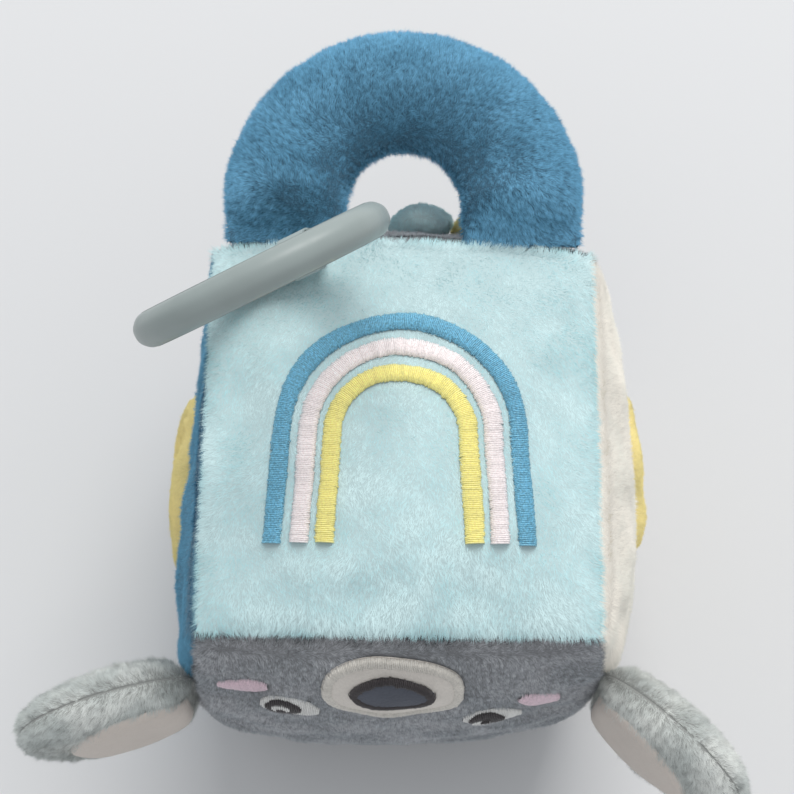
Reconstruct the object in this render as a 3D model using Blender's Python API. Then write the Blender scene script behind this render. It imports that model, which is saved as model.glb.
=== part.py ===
"""Soft activity block: a stuffed plush cube with a face, ears, a carrying handle and a ring.

The block lies on the side that is the top of the animal's head, as it does on a table when
the rainbow panel faces up. X runs to the right, Y from the face to the handle and Z up. The
origin is the centre of the flat patch that the block rests on.

The hard part is the pillow skin. Six panels are sewn edge to edge along a seam box whose
upright seams bow outwards. Each panel rises steeply from its seams to a full crown, and every
applied motif is laid on that same curved skin at its own height, so nothing floats or sinks.
"""

import math

import bmesh
import bpy
import numpy as np

MM = 0.001

# Seam box: the box that the seams follow
SEAM_WIDTH = 100 * MM
SEAM_DEPTH = 103 * MM
SEAM_HEIGHT = 100 * MM
BASE_SEAM_RISE = 10 * MM

# Cloth and the gaps that keep the sewn pieces apart
PLUSH_THICKNESS = 1.6 * MM
SEAM_GAP = 0.24 * MM
STUFFING_GAP = 0.4 * MM
PATCH_GAP = 0.35 * MM

# How far each panel's middle stands out from its seams
RAINBOW_CROWN = 12 * MM
FACE_CROWN = 13 * MM
BACK_CROWN = 11 * MM
BLUE_SIDE_CROWN = 5.4 * MM
CREAM_SIDE_CROWN = 9.8 * MM
BASE_CROWN = 14 * MM

# Shares of a crown that lean towards the face end of a side panel, or the blue side of the face
BLUE_SIDE_LEAN_SHARE = 0.75
CREAM_SIDE_LEAN_SHARE = 0.2
FACE_LEAN_SHARE = 0.12
CROWN_POWER_SHARE = 0.40

# Outward bow of each upright seam at half height, across and along
FACE_BLUE_BOW = (3.0 * MM, 4.5 * MM)
FACE_CREAM_BOW = (3.5 * MM, 1.5 * MM)
BACK_BLUE_BOW = (2.2 * MM, 4.0 * MM)
BACK_CREAM_BOW = (4.6 * MM, 4.0 * MM)

# Outward bow of the upper far seam, pulled out by the handle's feet
HANDLE_SEAM_BOW = 2.9 * MM
HANDLE_SEAM_LEAN_SHARE = 0.3

# Mesh fineness of the skin, and rounds that settle a place on the bowed upper panel
PANEL_STEPS = 12
SETTLE_ROUNDS = 6

# Embroidered rainbow on the upper panel
BAND_WIDTH = 4.8 * MM
BAND_HEIGHT = 1.1 * MM
BAND_FOOT_Y = -30.5 * MM
BAND_SPRING_Y = -2.5 * MM
BLUE_FOOT_HALF = 31.6 * MM
BLUE_ARCH_HALF = 29.8 * MM
BLUE_ARCH_RISE = 30.2 * MM
PINK_FOOT_HALF = 24.6 * MM
PINK_ARCH_HALF = 23.2 * MM
PINK_ARCH_RISE = 23.2 * MM
YELLOW_FOOT_HALF = 18.3 * MM
YELLOW_ARCH_HALF = 17.0 * MM
YELLOW_ARCH_RISE = 15.8 * MM
BAND_LEG_STEPS = 5
BAND_ARCH_STEPS = 20
BAND_ACROSS_SHARES = (-1.0, -0.6, 0.0, 0.6, 1.0)
BAND_RISE_SHARES = (0.3, 0.85, 1.0, 0.85, 0.3)

# Fineness and squareness of the sewn ovals
OVAL_STEPS = 20
LARGE_OVAL_STEPS = 28
STAR_STEPS = 40
PATCH_RINGS = 2
CUSHION_RINGS = 4
ELLIPSE_POWER = 2.0
MUZZLE_POWER = 2.3
THREAD_DOME_SHARE = 0.3
NOSE_DOME_SHARE = 0.4
CLOUD_DOME_SHARE = 0.75
STAR_DOME_SHARE = 0.7

# Face, which hangs upside down when the block lies this way
FACE_CENTRE_X = -0.8 * MM
FACE_ROLL_DEG = -5.0
MUZZLE_CENTRE_Z = 96.3 * MM
MUZZLE_HALF_WIDTH = 17.8 * MM
MUZZLE_HALF_HEIGHT = 11.6 * MM
MUZZLE_HEIGHT = 0.9 * MM
NOSE_CENTRE_Z = 97.0 * MM
NOSE_HALF_WIDTH = 10.8 * MM
NOSE_HALF_HEIGHT = 6.4 * MM
NOSE_HEIGHT = 1.0 * MM
EYE_OFFSET_X = 26.4 * MM
EYE_CENTRE_Z = 81.5 * MM
EYE_HALF_WIDTH = 7.6 * MM
EYE_HALF_HEIGHT = 5.8 * MM
EYE_HEIGHT = 0.8 * MM
PUPIL_HALF_WIDTH = 4.6 * MM
PUPIL_HALF_HEIGHT = 4.2 * MM
PUPIL_HEIGHT = 0.6 * MM
PUPIL_SHIFT_X = -2.0 * MM
CHEEK_OFFSET_X = 38.6 * MM
CHEEK_CENTRE_Z = 88.6 * MM
CHEEK_HALF_WIDTH = 7.0 * MM
CHEEK_HALF_HEIGHT = 3.8 * MM
CHEEK_HEIGHT = 0.7 * MM

# Padded shapes on the two sides
CLOUD_CENTRE_Y = 1.0 * MM
CLOUD_CENTRE_Z = 66.0 * MM
CLOUD_RADIUS = 25.0 * MM
CLOUD_SCALLOP = 2.2 * MM
CLOUD_SCALLOPS = 5
CLOUD_HEIGHT = 5.2 * MM
STAR_CENTRE_Y = 4.0 * MM
STAR_CENTRE_Z = 66.0 * MM
STAR_RADIUS = 23.5 * MM
STAR_DEPTH = 5.5 * MM
STAR_POINTS = 5
STAR_HEIGHT = 3.6 * MM

# Padded shapes on the back panel
AQUA_PUFF_X = 4.6 * MM
AQUA_PUFF_CENTRE_Z = 87.0 * MM
YELLOW_PUFF_X = 21.4 * MM
YELLOW_PUFF_CENTRE_Z = 83.0 * MM
PUFF_HALF_WIDTH = 8.0 * MM
PUFF_HALF_HEIGHT = 12.0 * MM
PUFF_DEPTH = 8.8 * MM

# Carrying handle, a stuffed tube bent to an arch and caught in the seam at both feet
HANDLE_TUBE_WIDTH = 31.0 * MM
HANDLE_TUBE_DEPTH = 26.0 * MM
HANDLE_ARCH_RADIUS = 31.1 * MM
HANDLE_LEG_LENGTH = 10.0 * MM
HANDLE_TILT_DEG = 12.0
HANDLE_FOOT_DEPTH = 2.2 * MM
HANDLE_SWELL_LENGTH = 13.0 * MM
HANDLE_COVER_THICKNESS = 1.2 * MM
HANDLE_HINGE_OUT = 2.6 * MM
HANDLE_HINGE_UP = 1.4 * MM
HANDLE_FILL_GAP = 1.0 * MM
HANDLE_FILL_STEPS = 12
HANDLE_LEG_STEPS = 5
HANDLE_ARCH_STEPS = 18
HANDLE_SECTION_STEPS = 8
COVER_SPLIT_GAP = 0.3 * MM

# Ears, flat stuffed discs caught in the upright seams beside the face
EAR_RADIUS = 25.0 * MM
EAR_REACH = 23.5 * MM
EAR_HALF_DEPTH = 8.4 * MM
EAR_ROOT_LENGTH = 7.0 * MM
EAR_CLOTH_THICKNESS = 1.2 * MM
EAR_CENTRE_Z = 66.0 * MM
EAR_ROOT_GAP = 0.5 * MM
BLUE_EAR_TURN_DEG = 198.0
CREAM_EAR_TURN_DEG = -42.0
EAR_TIP_ANGLE_DEG = 175.0
EAR_FILL_START = 5.5 * MM
EAR_FILL_GAP = 0.8 * MM
EAR_PATCH_RADIUS = 17.2 * MM
EAR_PATCH_REACH = 19.6 * MM
EAR_PATCH_START = 4.0 * MM
EAR_PATCH_THICKNESS = 0.9 * MM
EAR_PATCH_GAP = 0.9 * MM
EAR_STEPS = 9

# Teether ring and its ribbon loop, set back, out and up from the upper far seam
RING_RADIUS = 29.9 * MM
RING_BAND_WIDTH = 8.8 * MM
RING_BAND_DEPTH = 8.0 * MM
RING_BEVEL = 2.2 * MM
RING_CENTRE_X = -34.0 * MM
RING_CENTRE_SETBACK = 23.2 * MM
RING_CENTRE_RISE = 38.5 * MM
RING_AXIS = (-0.4515, 0.8002, 0.3947)
RING_STEPS = 48
RIBBON_WIDTH = 8.0 * MM
RIBBON_THICKNESS = 0.6 * MM
RIBBON_CLEARANCE = 0.65 * MM
RIBBON_ANGLE_DEG = -60.0
RIBBON_ROOT_X = -22.6 * MM
RIBBON_ROOT_OUT = 1.9 * MM
RIBBON_ROOT_RISE = 4.8 * MM
RIBBON_FOLD_RADIUS = 0.3 * MM
RIBBON_ARC_STEPS = 10
RIBBON_SIDE_STEPS = 3
RIBBON_FOLD_STEPS = 4

# Values that follow from the sizes above
HALF_WIDTH = SEAM_WIDTH / 2
HALF_DEPTH = SEAM_DEPTH / 2
HALF_HEIGHT = SEAM_HEIGHT / 2
MIDDLE_Z = BASE_SEAM_RISE + HALF_HEIGHT
TOP_SEAM_Z = BASE_SEAM_RISE + SEAM_HEIGHT

COLOURS = {
    "aqua_plush": ((0.43, 0.68, 0.71), 0.95),
    "blue_plush": ((0.09, 0.22, 0.36), 0.95),
    "side_blue_plush": ((0.10, 0.25, 0.38), 0.95),
    "grey_plush": ((0.27, 0.29, 0.32), 0.95),
    "cream_plush": ((0.80, 0.77, 0.70), 0.95),
    "yellow_plush": ((0.86, 0.73, 0.22), 0.92),
    "dark_plush": ((0.09, 0.10, 0.12), 0.95),
    "muzzle_plush": ((0.55, 0.56, 0.54), 0.92),
    "blue_thread": ((0.06, 0.25, 0.40), 0.55),
    "pink_thread": ((0.66, 0.53, 0.60), 0.55),
    "yellow_thread": ((0.88, 0.78, 0.20), 0.55),
    "white_thread": ((0.78, 0.80, 0.82), 0.55),
    "dark_thread": ((0.04, 0.04, 0.05), 0.55),
    "cheek_thread": ((0.60, 0.42, 0.52), 0.55),
    "ribbon": ((0.78, 0.76, 0.70), 0.7),
    "teether": ((0.30, 0.35, 0.34), 0.42),
    "stuffing": ((0.85, 0.85, 0.83), 1.0),
}

FACES = {
    "rainbow": (RAINBOW_CROWN, 0.0),
    "base": (BASE_CROWN, 0.0),
    "face": (FACE_CROWN, FACE_LEAN_SHARE),
    "back": (BACK_CROWN, 0.0),
    "blue": (BLUE_SIDE_CROWN, BLUE_SIDE_LEAN_SHARE),
    "cream": (CREAM_SIDE_CROWN, CREAM_SIDE_LEAN_SHARE),
}

OUTWARD = {
    "rainbow": (0, 0, 1),
    "base": (0, 0, -1),
    "face": (0, -1, 0),
    "back": (0, 1, 0),
    "blue": (-1, 0, 0),
    "cream": (1, 0, 0),
}


def clear_scene():
    """Removes every object of the open scene."""
    for old in list(bpy.data.objects):
        bpy.data.objects.remove(old, do_unlink=True)


def material(name):
    """The piece's plain material, made once."""
    made = bpy.data.materials.get(name)
    if made:
        return made
    made = bpy.data.materials.new(name)
    made.use_nodes = True
    shader = made.node_tree.nodes["Principled BSDF"]
    colour, roughness = COLOURS[name]
    shader.inputs["Base Color"].default_value = (*colour, 1)
    shader.inputs["Roughness"].default_value = roughness
    shader.inputs["Metallic"].default_value = 0
    return made


def add_piece(name, points, faces, slot, pivot=(0, 0, 0)):
    """Adds a named closed mesh whose origin is at pivot, with its faces turned outwards."""
    pivot = np.array(pivot, float)
    mesh = bpy.data.meshes.new(name)
    mesh.from_pydata((np.asarray(points) - pivot).tolist(), [], faces)
    work = bmesh.new()
    work.from_mesh(mesh)
    bmesh.ops.recalc_face_normals(work, faces=work.faces)
    bmesh.ops.triangulate(work, faces=work.faces)
    if work.calc_volume(signed=True) < 0:
        bmesh.ops.reverse_faces(work, faces=work.faces)
    work.to_mesh(mesh)
    work.free()
    mesh.shade_smooth()
    piece = bpy.data.objects.new(name, mesh)
    piece.location = pivot.tolist()
    piece.data.materials.append(material(slot))
    bpy.context.scene.collection.objects.link(piece)
    return piece


def grid_faces(rows, columns, start=0, wrap=False):
    """Quads over a grid of points; wrap joins the last column to the first."""
    faces = []
    for i in range(rows - 1):
        for j in range(columns if wrap else columns - 1):
            k = (j + 1) % columns
            low, high = start + i * columns, start + (i + 1) * columns
            faces.append((low + j, low + k, high + k, high + j))
    return faces


def border(rows, columns):
    """Indices round the edge of a grid, in order."""
    low = list(range(columns))
    right = [i * columns + columns - 1 for i in range(1, rows)]
    high = [(rows - 1) * columns + j for j in range(columns - 2, -1, -1)]
    left = [i * columns for i in range(rows - 2, 0, -1)]
    return low + right + high + left


def add_shell(name, outer, inner, slot, pivot=(0, 0, 0)):
    """A closed piece between two grids of points of one size, joined round their edges."""
    rows, columns = outer.shape[:2]
    count = rows * columns
    faces = grid_faces(rows, columns)
    faces += [tuple(reversed(f)) for f in grid_faces(rows, columns, count)]
    edge = border(rows, columns)
    for a, b in zip(edge, edge[1:] + edge[:1]):
        faces.append((a, a + count, b + count, b))
    points = np.concatenate([outer.reshape(-1, 3), inner.reshape(-1, 3)])
    return add_piece(name, points, faces, slot, pivot)


def add_loft(name, sections, slot, pivot=(0, 0, 0), closed=False):
    """A closed piece through a row of sections with equal point counts; closed joins its ends."""
    rows, columns = sections.shape[:2]
    faces = grid_faces(rows, columns, wrap=True)
    if closed:
        for j in range(columns):
            k = (j + 1) % columns
            last = (rows - 1) * columns
            faces.append((last + j, last + k, k, j))
    else:
        faces.append(tuple(range(columns - 1, -1, -1)))
        faces.append(tuple((rows - 1) * columns + j for j in range(columns)))
    return add_piece(name, sections.reshape(-1, 3), faces, slot, pivot)


def smooth(x):
    """Rises from 0 to 1 with flat ends."""
    x = np.clip(x, 0, 1)
    return x * x * (3 - 2 * x)


def crown(u, v):
    """Height share of a stuffed panel: zero on its seams, steep beside them, 1 in the middle."""
    inner = np.clip((1 - u * u) * (1 - v * v), 0, 1)
    return inner**CROWN_POWER_SHARE


def upright_seam(side, end, v, inset, trim):
    """Point on an upright seam. side is -1 for blue, end is -1 for the face, v runs up."""
    bows = {
        (-1, -1): FACE_BLUE_BOW,
        (1, -1): FACE_CREAM_BOW,
        (-1, 1): BACK_BLUE_BOW,
        (1, 1): BACK_CREAM_BOW,
    }
    across, along = bows[side, end]
    belly = 1 - v * v
    x = side * (HALF_WIDTH - inset - trim[0] + across * belly)
    y = end * (HALF_DEPTH - inset - trim[1] + along * belly)
    return x, y


def handle_seam_bow(u, share):
    """How far the upper far seam stands out at u, fading with share away from it."""
    return HANDLE_SEAM_BOW * (1 - u * u) * (1 - HANDLE_SEAM_LEAN_SHARE * u) * share * share


def skin(face, u, v, inset=0.0, trim=0.0):
    """Points of one panel. u and v run from -1 to 1 between its seams.

    inset shrinks the seam box, for the inner face of the cloth and for the stuffing. trim draws
    the panel back from its own seams and leaves its height as it is.
    """
    u, v = np.broadcast_arrays(np.asarray(u, float), np.asarray(v, float))
    height, lean = FACES[face]
    rise = height * crown(u, v) * (1 - lean * u)
    if face in ("rainbow", "base"):
        x = u * (HALF_WIDTH - inset - trim)
        y = v * (HALF_DEPTH - inset - trim)
        if face == "rainbow":
            y = y + handle_seam_bow(u, (1 + v) / 2)
            return np.stack([x, y, TOP_SEAM_Z - inset + rise], -1)
        return np.stack([x, y, np.maximum(BASE_SEAM_RISE + inset - rise, inset)], -1)
    z = MIDDLE_Z + v * (HALF_HEIGHT - inset - trim)
    share = (u + 1) / 2
    if face in ("face", "back"):
        end = -1 if face == "face" else 1
        xa, ya = upright_seam(-1, end, v, inset, (trim, 0.0))
        xb, yb = upright_seam(1, end, v, inset, (trim, 0.0))
        x = (1 - share) * xa + share * xb
        y = (1 - share) * ya + share * yb + end * rise
        if face == "back":
            y = y + handle_seam_bow(u, (1 + v) / 2)
        return np.stack([x, y, z], -1)
    side = -1 if face == "blue" else 1
    xa, ya = upright_seam(side, -1, v, inset, (0.0, trim))
    xb, yb = upright_seam(side, 1, v, inset, (0.0, trim))
    x = (1 - share) * xa + share * xb + side * rise
    y = (1 - share) * ya + share * yb
    return np.stack([x, y, z], -1)


def face_shares(face, p, q):
    """u and v of a panel from real places on it: p is X, or Y on a side; q is Z, or Y on top."""
    if face in ("rainbow", "base"):
        u, v = p / HALF_WIDTH, q / HALF_DEPTH
        for _ in range(SETTLE_ROUNDS if face == "rainbow" else 0):
            v = (q - handle_seam_bow(u, (1 + v) / 2)) / HALF_DEPTH
        return u, v
    v = (q - MIDDLE_Z) / HALF_HEIGHT
    if face in ("face", "back"):
        end = -1 if face == "face" else 1
        low = upright_seam(-1, end, v, 0.0, (0.0, 0.0))[0]
        high = upright_seam(1, end, v, 0.0, (0.0, 0.0))[0]
    else:
        side = -1 if face == "blue" else 1
        low = upright_seam(side, -1, v, 0.0, (0.0, 0.0))[1]
        high = upright_seam(side, 1, v, 0.0, (0.0, 0.0))[1]
    return (2 * p - low - high) / (high - low), v


def lifted(face, p, q, lift):
    """Points at a height above a panel's outer skin, along its normal."""
    u, v = face_shares(face, p, q)
    step_share = 1e-3
    across = skin(face, u + step_share, v) - skin(face, u - step_share, v)
    along = skin(face, u, v + step_share) - skin(face, u, v - step_share)
    normal = np.cross(across, along)
    normal /= np.linalg.norm(normal, axis=-1, keepdims=True)
    normal *= np.sign(normal @ np.array(OUTWARD[face], float))[..., None]
    return skin(face, u, v) + normal * np.asarray(lift, float)[..., None]


def seam_spacing(steps):
    """Shares from -1 to 1 that lie closer together beside the seams."""
    return np.sin(np.linspace(-math.pi / 2, math.pi / 2, steps + 1))


def build_body():
    """The six plush panels and the stuffing that fills them."""
    spread = seam_spacing(PANEL_STEPS)
    u, v = np.meshgrid(spread, spread, indexing="ij")
    slots = {
        "rainbow": ("rainbow_panel", "aqua_plush"),
        "face": ("face_panel", "grey_plush"),
        "back": ("back_panel", "grey_plush"),
        "blue": ("blue_side_panel", "side_blue_plush"),
        "cream": ("cream_side_panel", "cream_plush"),
        "base": ("base_panel", "grey_plush"),
    }
    for face, (name, slot) in slots.items():
        outer = skin(face, u, v, 0.0, SEAM_GAP)
        inner = skin(face, u, v, PLUSH_THICKNESS, SEAM_GAP)
        add_shell(name, outer, inner, slot)

    points, faces = [], []
    inset = PLUSH_THICKNESS + STUFFING_GAP
    for face in slots:
        start = len(points) * (PANEL_STEPS + 1) ** 2
        faces += grid_faces(PANEL_STEPS + 1, PANEL_STEPS + 1, start)
        points.append(skin(face, u, v, inset).reshape(-1, 3))
    core = add_piece("stuffing_core", np.concatenate(points), faces, "stuffing")
    weld(core)


def weld(piece):
    """Joins the points that meet along the seams and turns the faces outwards."""
    merge_distance = STUFFING_GAP / 100
    work = bmesh.new()
    work.from_mesh(piece.data)
    bmesh.ops.remove_doubles(work, verts=work.verts, dist=merge_distance)
    bmesh.ops.recalc_face_normals(work, faces=work.faces)
    if work.calc_volume(signed=True) < 0:
        bmesh.ops.reverse_faces(work, faces=work.faces)
    work.to_mesh(piece.data)
    work.free()


def arch_path(foot_half, arch_half, arch_rise):
    """Centre line of one rainbow band: a splayed leg, a half ellipse and the other leg."""
    angles = np.linspace(math.pi, 0, BAND_ARCH_STEPS + 1)
    arch = np.stack([arch_half * np.cos(angles), BAND_SPRING_Y + arch_rise * np.sin(angles)], -1)
    share = np.linspace(0, 1, BAND_LEG_STEPS, endpoint=False)
    half = foot_half + (arch_half - foot_half) * share
    y = BAND_FOOT_Y + (BAND_SPRING_Y - BAND_FOOT_Y) * share
    leg = np.stack([-half, y], -1)
    other = np.stack([half, y], -1)[::-1]
    return np.concatenate([leg, arch, other])


def build_rainbow():
    """Three raised satin bands laid on the crowned upper panel."""
    bands = {
        "rainbow_blue_band": (BLUE_FOOT_HALF, BLUE_ARCH_HALF, BLUE_ARCH_RISE, "blue_thread"),
        "rainbow_pink_band": (PINK_FOOT_HALF, PINK_ARCH_HALF, PINK_ARCH_RISE, "pink_thread"),
        "rainbow_yellow_band": (YELLOW_FOOT_HALF, YELLOW_ARCH_HALF, YELLOW_ARCH_RISE, "yellow_thread"),
    }
    for name, (foot, half, rise, slot) in bands.items():
        path = arch_path(foot, half, rise)
        along = np.gradient(path, axis=0)
        along /= np.linalg.norm(along, axis=1, keepdims=True)
        across = np.stack([-along[:, 1], along[:, 0]], -1) * BAND_WIDTH / 2
        shares = np.array([-1.0, *BAND_ACROSS_SHARES, 1.0])
        rises = np.array([0.0, *BAND_RISE_SHARES, 0.0]) * BAND_HEIGHT + PATCH_GAP
        place = path[:, None, :] + across[:, None, :] * shares[None, :, None]
        lifts = np.broadcast_to(rises, place.shape[:2])
        sections = lifted("rainbow", place[..., 0], place[..., 1], lifts)
        add_loft(name, sections, slot)


def add_patch(name, face, centre, outline, height, slot, base=0.0, dome_share=0.0, steps=PATCH_RINGS):
    """A flat or domed patch laid on a panel.

    outline is a closed row of offsets from the centre. dome_share is how much of the height is
    given to the dome, and the rest stands straight up at the edge.
    """
    centre = np.array(centre)
    rings = np.linspace(1, 0, steps + 1)[:-1]
    low_lift = base + PATCH_GAP
    count = len(outline)
    layers, lifts = [], []
    for ring in rings:
        layers.append(centre + outline * ring)
        edge = 1 - dome_share + dome_share * math.sqrt(max(0.0, 1 - ring**2))
        lifts.append(np.full(count, low_lift + height * edge))
    top = np.concatenate(layers + [centre[None, :]])
    top_lift = np.concatenate(lifts + [[low_lift + height]])
    upper = lifted(face, top[:, 0], top[:, 1], top_lift)
    lower = lifted(face, top[:, 0], top[:, 1], np.full(len(top), low_lift))
    points = np.concatenate([upper, lower])
    faces = grid_faces(steps, count, wrap=True)
    middle, half = steps * count, len(top)
    for j in range(count):
        faces.append(((steps - 1) * count + j, (steps - 1) * count + (j + 1) % count, middle))
    faces += [tuple(half + i for i in reversed(f)) for f in list(faces)]
    for j in range(count):
        k = (j + 1) % count
        faces.append((j, half + j, half + k, k))
    return add_piece(name, points, faces, slot)


def oval(half_width, half_height, roll_deg=0.0, count=OVAL_STEPS, power=ELLIPSE_POWER):
    """Closed outline of a rounded oval, turned by roll_deg; a power over 2 squares it off."""
    t = np.linspace(0, 2 * math.pi, count, endpoint=False)
    x = half_width * np.sign(np.cos(t)) * np.abs(np.cos(t)) ** (2 / power)
    y = half_height * np.sign(np.sin(t)) * np.abs(np.sin(t)) ** (2 / power)
    roll = math.radians(roll_deg)
    turned = (x * math.cos(roll) - y * math.sin(roll), x * math.sin(roll) + y * math.cos(roll))
    return np.stack(turned, -1)


def face_place(offset_x, z):
    """Place of a feature on the face, turned with the face's roll about the muzzle."""
    slope = math.tan(math.radians(FACE_ROLL_DEG))
    return FACE_CENTRE_X + offset_x, z + slope * offset_x


def build_face():
    """Muzzle, nose, eyes and cheeks, each stitched to what it lies on."""
    place = face_place(0, MUZZLE_CENTRE_Z)
    outline = oval(MUZZLE_HALF_WIDTH, MUZZLE_HALF_HEIGHT, FACE_ROLL_DEG, LARGE_OVAL_STEPS, MUZZLE_POWER)
    add_patch("muzzle", "face", place, outline, MUZZLE_HEIGHT, "muzzle_plush")
    place = face_place(0, NOSE_CENTRE_Z)
    outline = oval(NOSE_HALF_WIDTH, NOSE_HALF_HEIGHT, FACE_ROLL_DEG, OVAL_STEPS, MUZZLE_POWER)
    base = PATCH_GAP + MUZZLE_HEIGHT
    add_patch("nose", "face", place, outline, NOSE_HEIGHT, "dark_plush", base, NOSE_DOME_SHARE)
    for name, side in (("blue_side", -1), ("cream_side", 1)):
        place = face_place(side * EYE_OFFSET_X, EYE_CENTRE_Z)
        outline = oval(EYE_HALF_WIDTH, EYE_HALF_HEIGHT, FACE_ROLL_DEG)
        white = f"{name}_eye_white"
        add_patch(white, "face", place, outline, EYE_HEIGHT, "white_thread", 0.0, THREAD_DOME_SHARE)
        place = face_place(side * EYE_OFFSET_X + PUPIL_SHIFT_X, EYE_CENTRE_Z)
        outline = oval(PUPIL_HALF_WIDTH, PUPIL_HALF_HEIGHT, FACE_ROLL_DEG)
        base = PATCH_GAP + EYE_HEIGHT
        pupil = f"{name}_pupil"
        add_patch(pupil, "face", place, outline, PUPIL_HEIGHT, "dark_thread", base, THREAD_DOME_SHARE)
        place = face_place(side * CHEEK_OFFSET_X, CHEEK_CENTRE_Z)
        outline = oval(CHEEK_HALF_WIDTH, CHEEK_HALF_HEIGHT, FACE_ROLL_DEG)
        cheek = f"{name}_cheek"
        add_patch(cheek, "face", place, outline, CHEEK_HEIGHT, "cheek_thread", 0.0, THREAD_DOME_SHARE)


def build_side_shapes():
    """The padded cloud on the blue side and the padded star on the cream side."""
    t = np.linspace(0, 2 * math.pi, STAR_STEPS, endpoint=False)
    radius = CLOUD_RADIUS - CLOUD_SCALLOP * (1 - np.abs(np.sin(CLOUD_SCALLOPS * t / 2)))
    outline = np.stack([radius * np.cos(t), radius * np.sin(t)], -1)
    place = (CLOUD_CENTRE_Y, CLOUD_CENTRE_Z)
    add_patch("cloud_cushion", "blue", place, outline, CLOUD_HEIGHT, "yellow_plush", 0.0,
              CLOUD_DOME_SHARE, CUSHION_RINGS)
    radius = STAR_RADIUS - STAR_DEPTH * (1 - np.cos(STAR_POINTS * (t - math.pi / 2))) / 2
    outline = np.stack([radius * np.cos(t), radius * np.sin(t)], -1)
    place = (STAR_CENTRE_Y, STAR_CENTRE_Z)
    add_patch("star_cushion", "cream", place, outline, STAR_HEIGHT, "yellow_plush", 0.0,
              STAR_DOME_SHARE, CUSHION_RINGS)


def add_cushion(name, face, centre, outline, depth, slot, steps=CUSHION_RINGS):
    """A pillow that lies on a panel, its edge seam halfway between its two faces."""
    centre = np.array(centre)
    rings = np.linspace(1, 0, steps + 1)[:-1]
    count = len(outline)
    places = np.concatenate([centre + outline * ring for ring in rings] + [centre[None, :]])
    dome = np.sqrt(1 - np.append(np.repeat(rings, count), 0.0) ** 2)
    middle = PATCH_GAP + depth / 2
    upper = lifted(face, places[:, 0], places[:, 1], middle + dome * depth / 2)
    inner = len(places) - count
    lower = lifted(face, places[count:, 0], places[count:, 1], middle - dome[count:] * depth / 2)
    faces = grid_faces(steps, count, wrap=True)
    for j in range(count):
        faces.append(((steps - 1) * count + j, (steps - 1) * count + (j + 1) % count, len(places) - 1))
    under = []
    for corners in faces:
        under.append(tuple(i if i < count else i + inner for i in reversed(corners)))
    return add_piece(name, np.concatenate([upper, lower]), faces + under, slot)


def build_puffs():
    """Two padded petals on the back panel, between and beneath the handle's feet."""
    outline = oval(PUFF_HALF_WIDTH, PUFF_HALF_HEIGHT)
    aqua = (AQUA_PUFF_X, AQUA_PUFF_CENTRE_Z)
    add_cushion("aqua_puff", "back", aqua, outline, PUFF_DEPTH, "aqua_plush")
    yellow = (YELLOW_PUFF_X, YELLOW_PUFF_CENTRE_Z)
    add_cushion("yellow_puff", "back", yellow, outline, PUFF_DEPTH, "yellow_plush")


def handle_hinge():
    """Middle of the edge where the handle's feet leave the seam."""
    return np.array([0.0, HALF_DEPTH + HANDLE_HINGE_OUT, TOP_SEAM_Z + HANDLE_HINGE_UP])


def handle_frames(inset_start=0.0):
    """Centre points, across vectors and distances from the nearer foot along the handle."""
    turn = np.linspace(math.pi, 0, HANDLE_ARCH_STEPS + 1)
    arch = np.stack([HANDLE_ARCH_RADIUS * np.cos(turn),
                     HANDLE_LEG_LENGTH + HANDLE_ARCH_RADIUS * np.sin(turn)], -1)
    share = seam_spacing(2 * HANDLE_LEG_STEPS)[: HANDLE_LEG_STEPS] + 1
    reach = inset_start + (HANDLE_LEG_LENGTH - inset_start) * share
    leg = np.stack([np.full_like(reach, -HANDLE_ARCH_RADIUS), reach], -1)
    path = np.concatenate([leg, arch, (leg * (-1, 1))[::-1]])
    across = np.concatenate([
        np.tile((-1.0, 0.0), (len(leg), 1)),
        np.stack([np.cos(turn), np.sin(turn)], -1),
        np.tile((1.0, 0.0), (len(leg), 1)),
    ])
    steps = np.linalg.norm(np.diff(path, axis=0), axis=1)
    run = np.concatenate([[0.0], np.cumsum(steps)])
    from_foot = inset_start + np.minimum(run, run[-1] - run)
    return path, across, from_foot


def handle_points(path, across, out, up):
    """World points of handle sections: out lies in the arch's plane, up across it."""
    tilt = math.radians(HANDLE_TILT_DEG)
    flat = path[:, None, :] + across[:, None, :] * out[..., None]
    hinge = handle_hinge()
    x = flat[..., 0]
    y = hinge[1] + flat[..., 1] * math.cos(tilt) - up * math.sin(tilt)
    z = hinge[2] + flat[..., 1] * math.sin(tilt) + up * math.cos(tilt)
    return np.stack([x, y, z], -1)


def handle_half_depth(from_foot):
    """Half the handle's depth: thin where it is sewn down, full beyond the swell."""
    thin, full = HANDLE_FOOT_DEPTH / 2, HANDLE_TUBE_DEPTH / 2
    return thin + (full - thin) * smooth(from_foot / HANDLE_SWELL_LENGTH)


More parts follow.
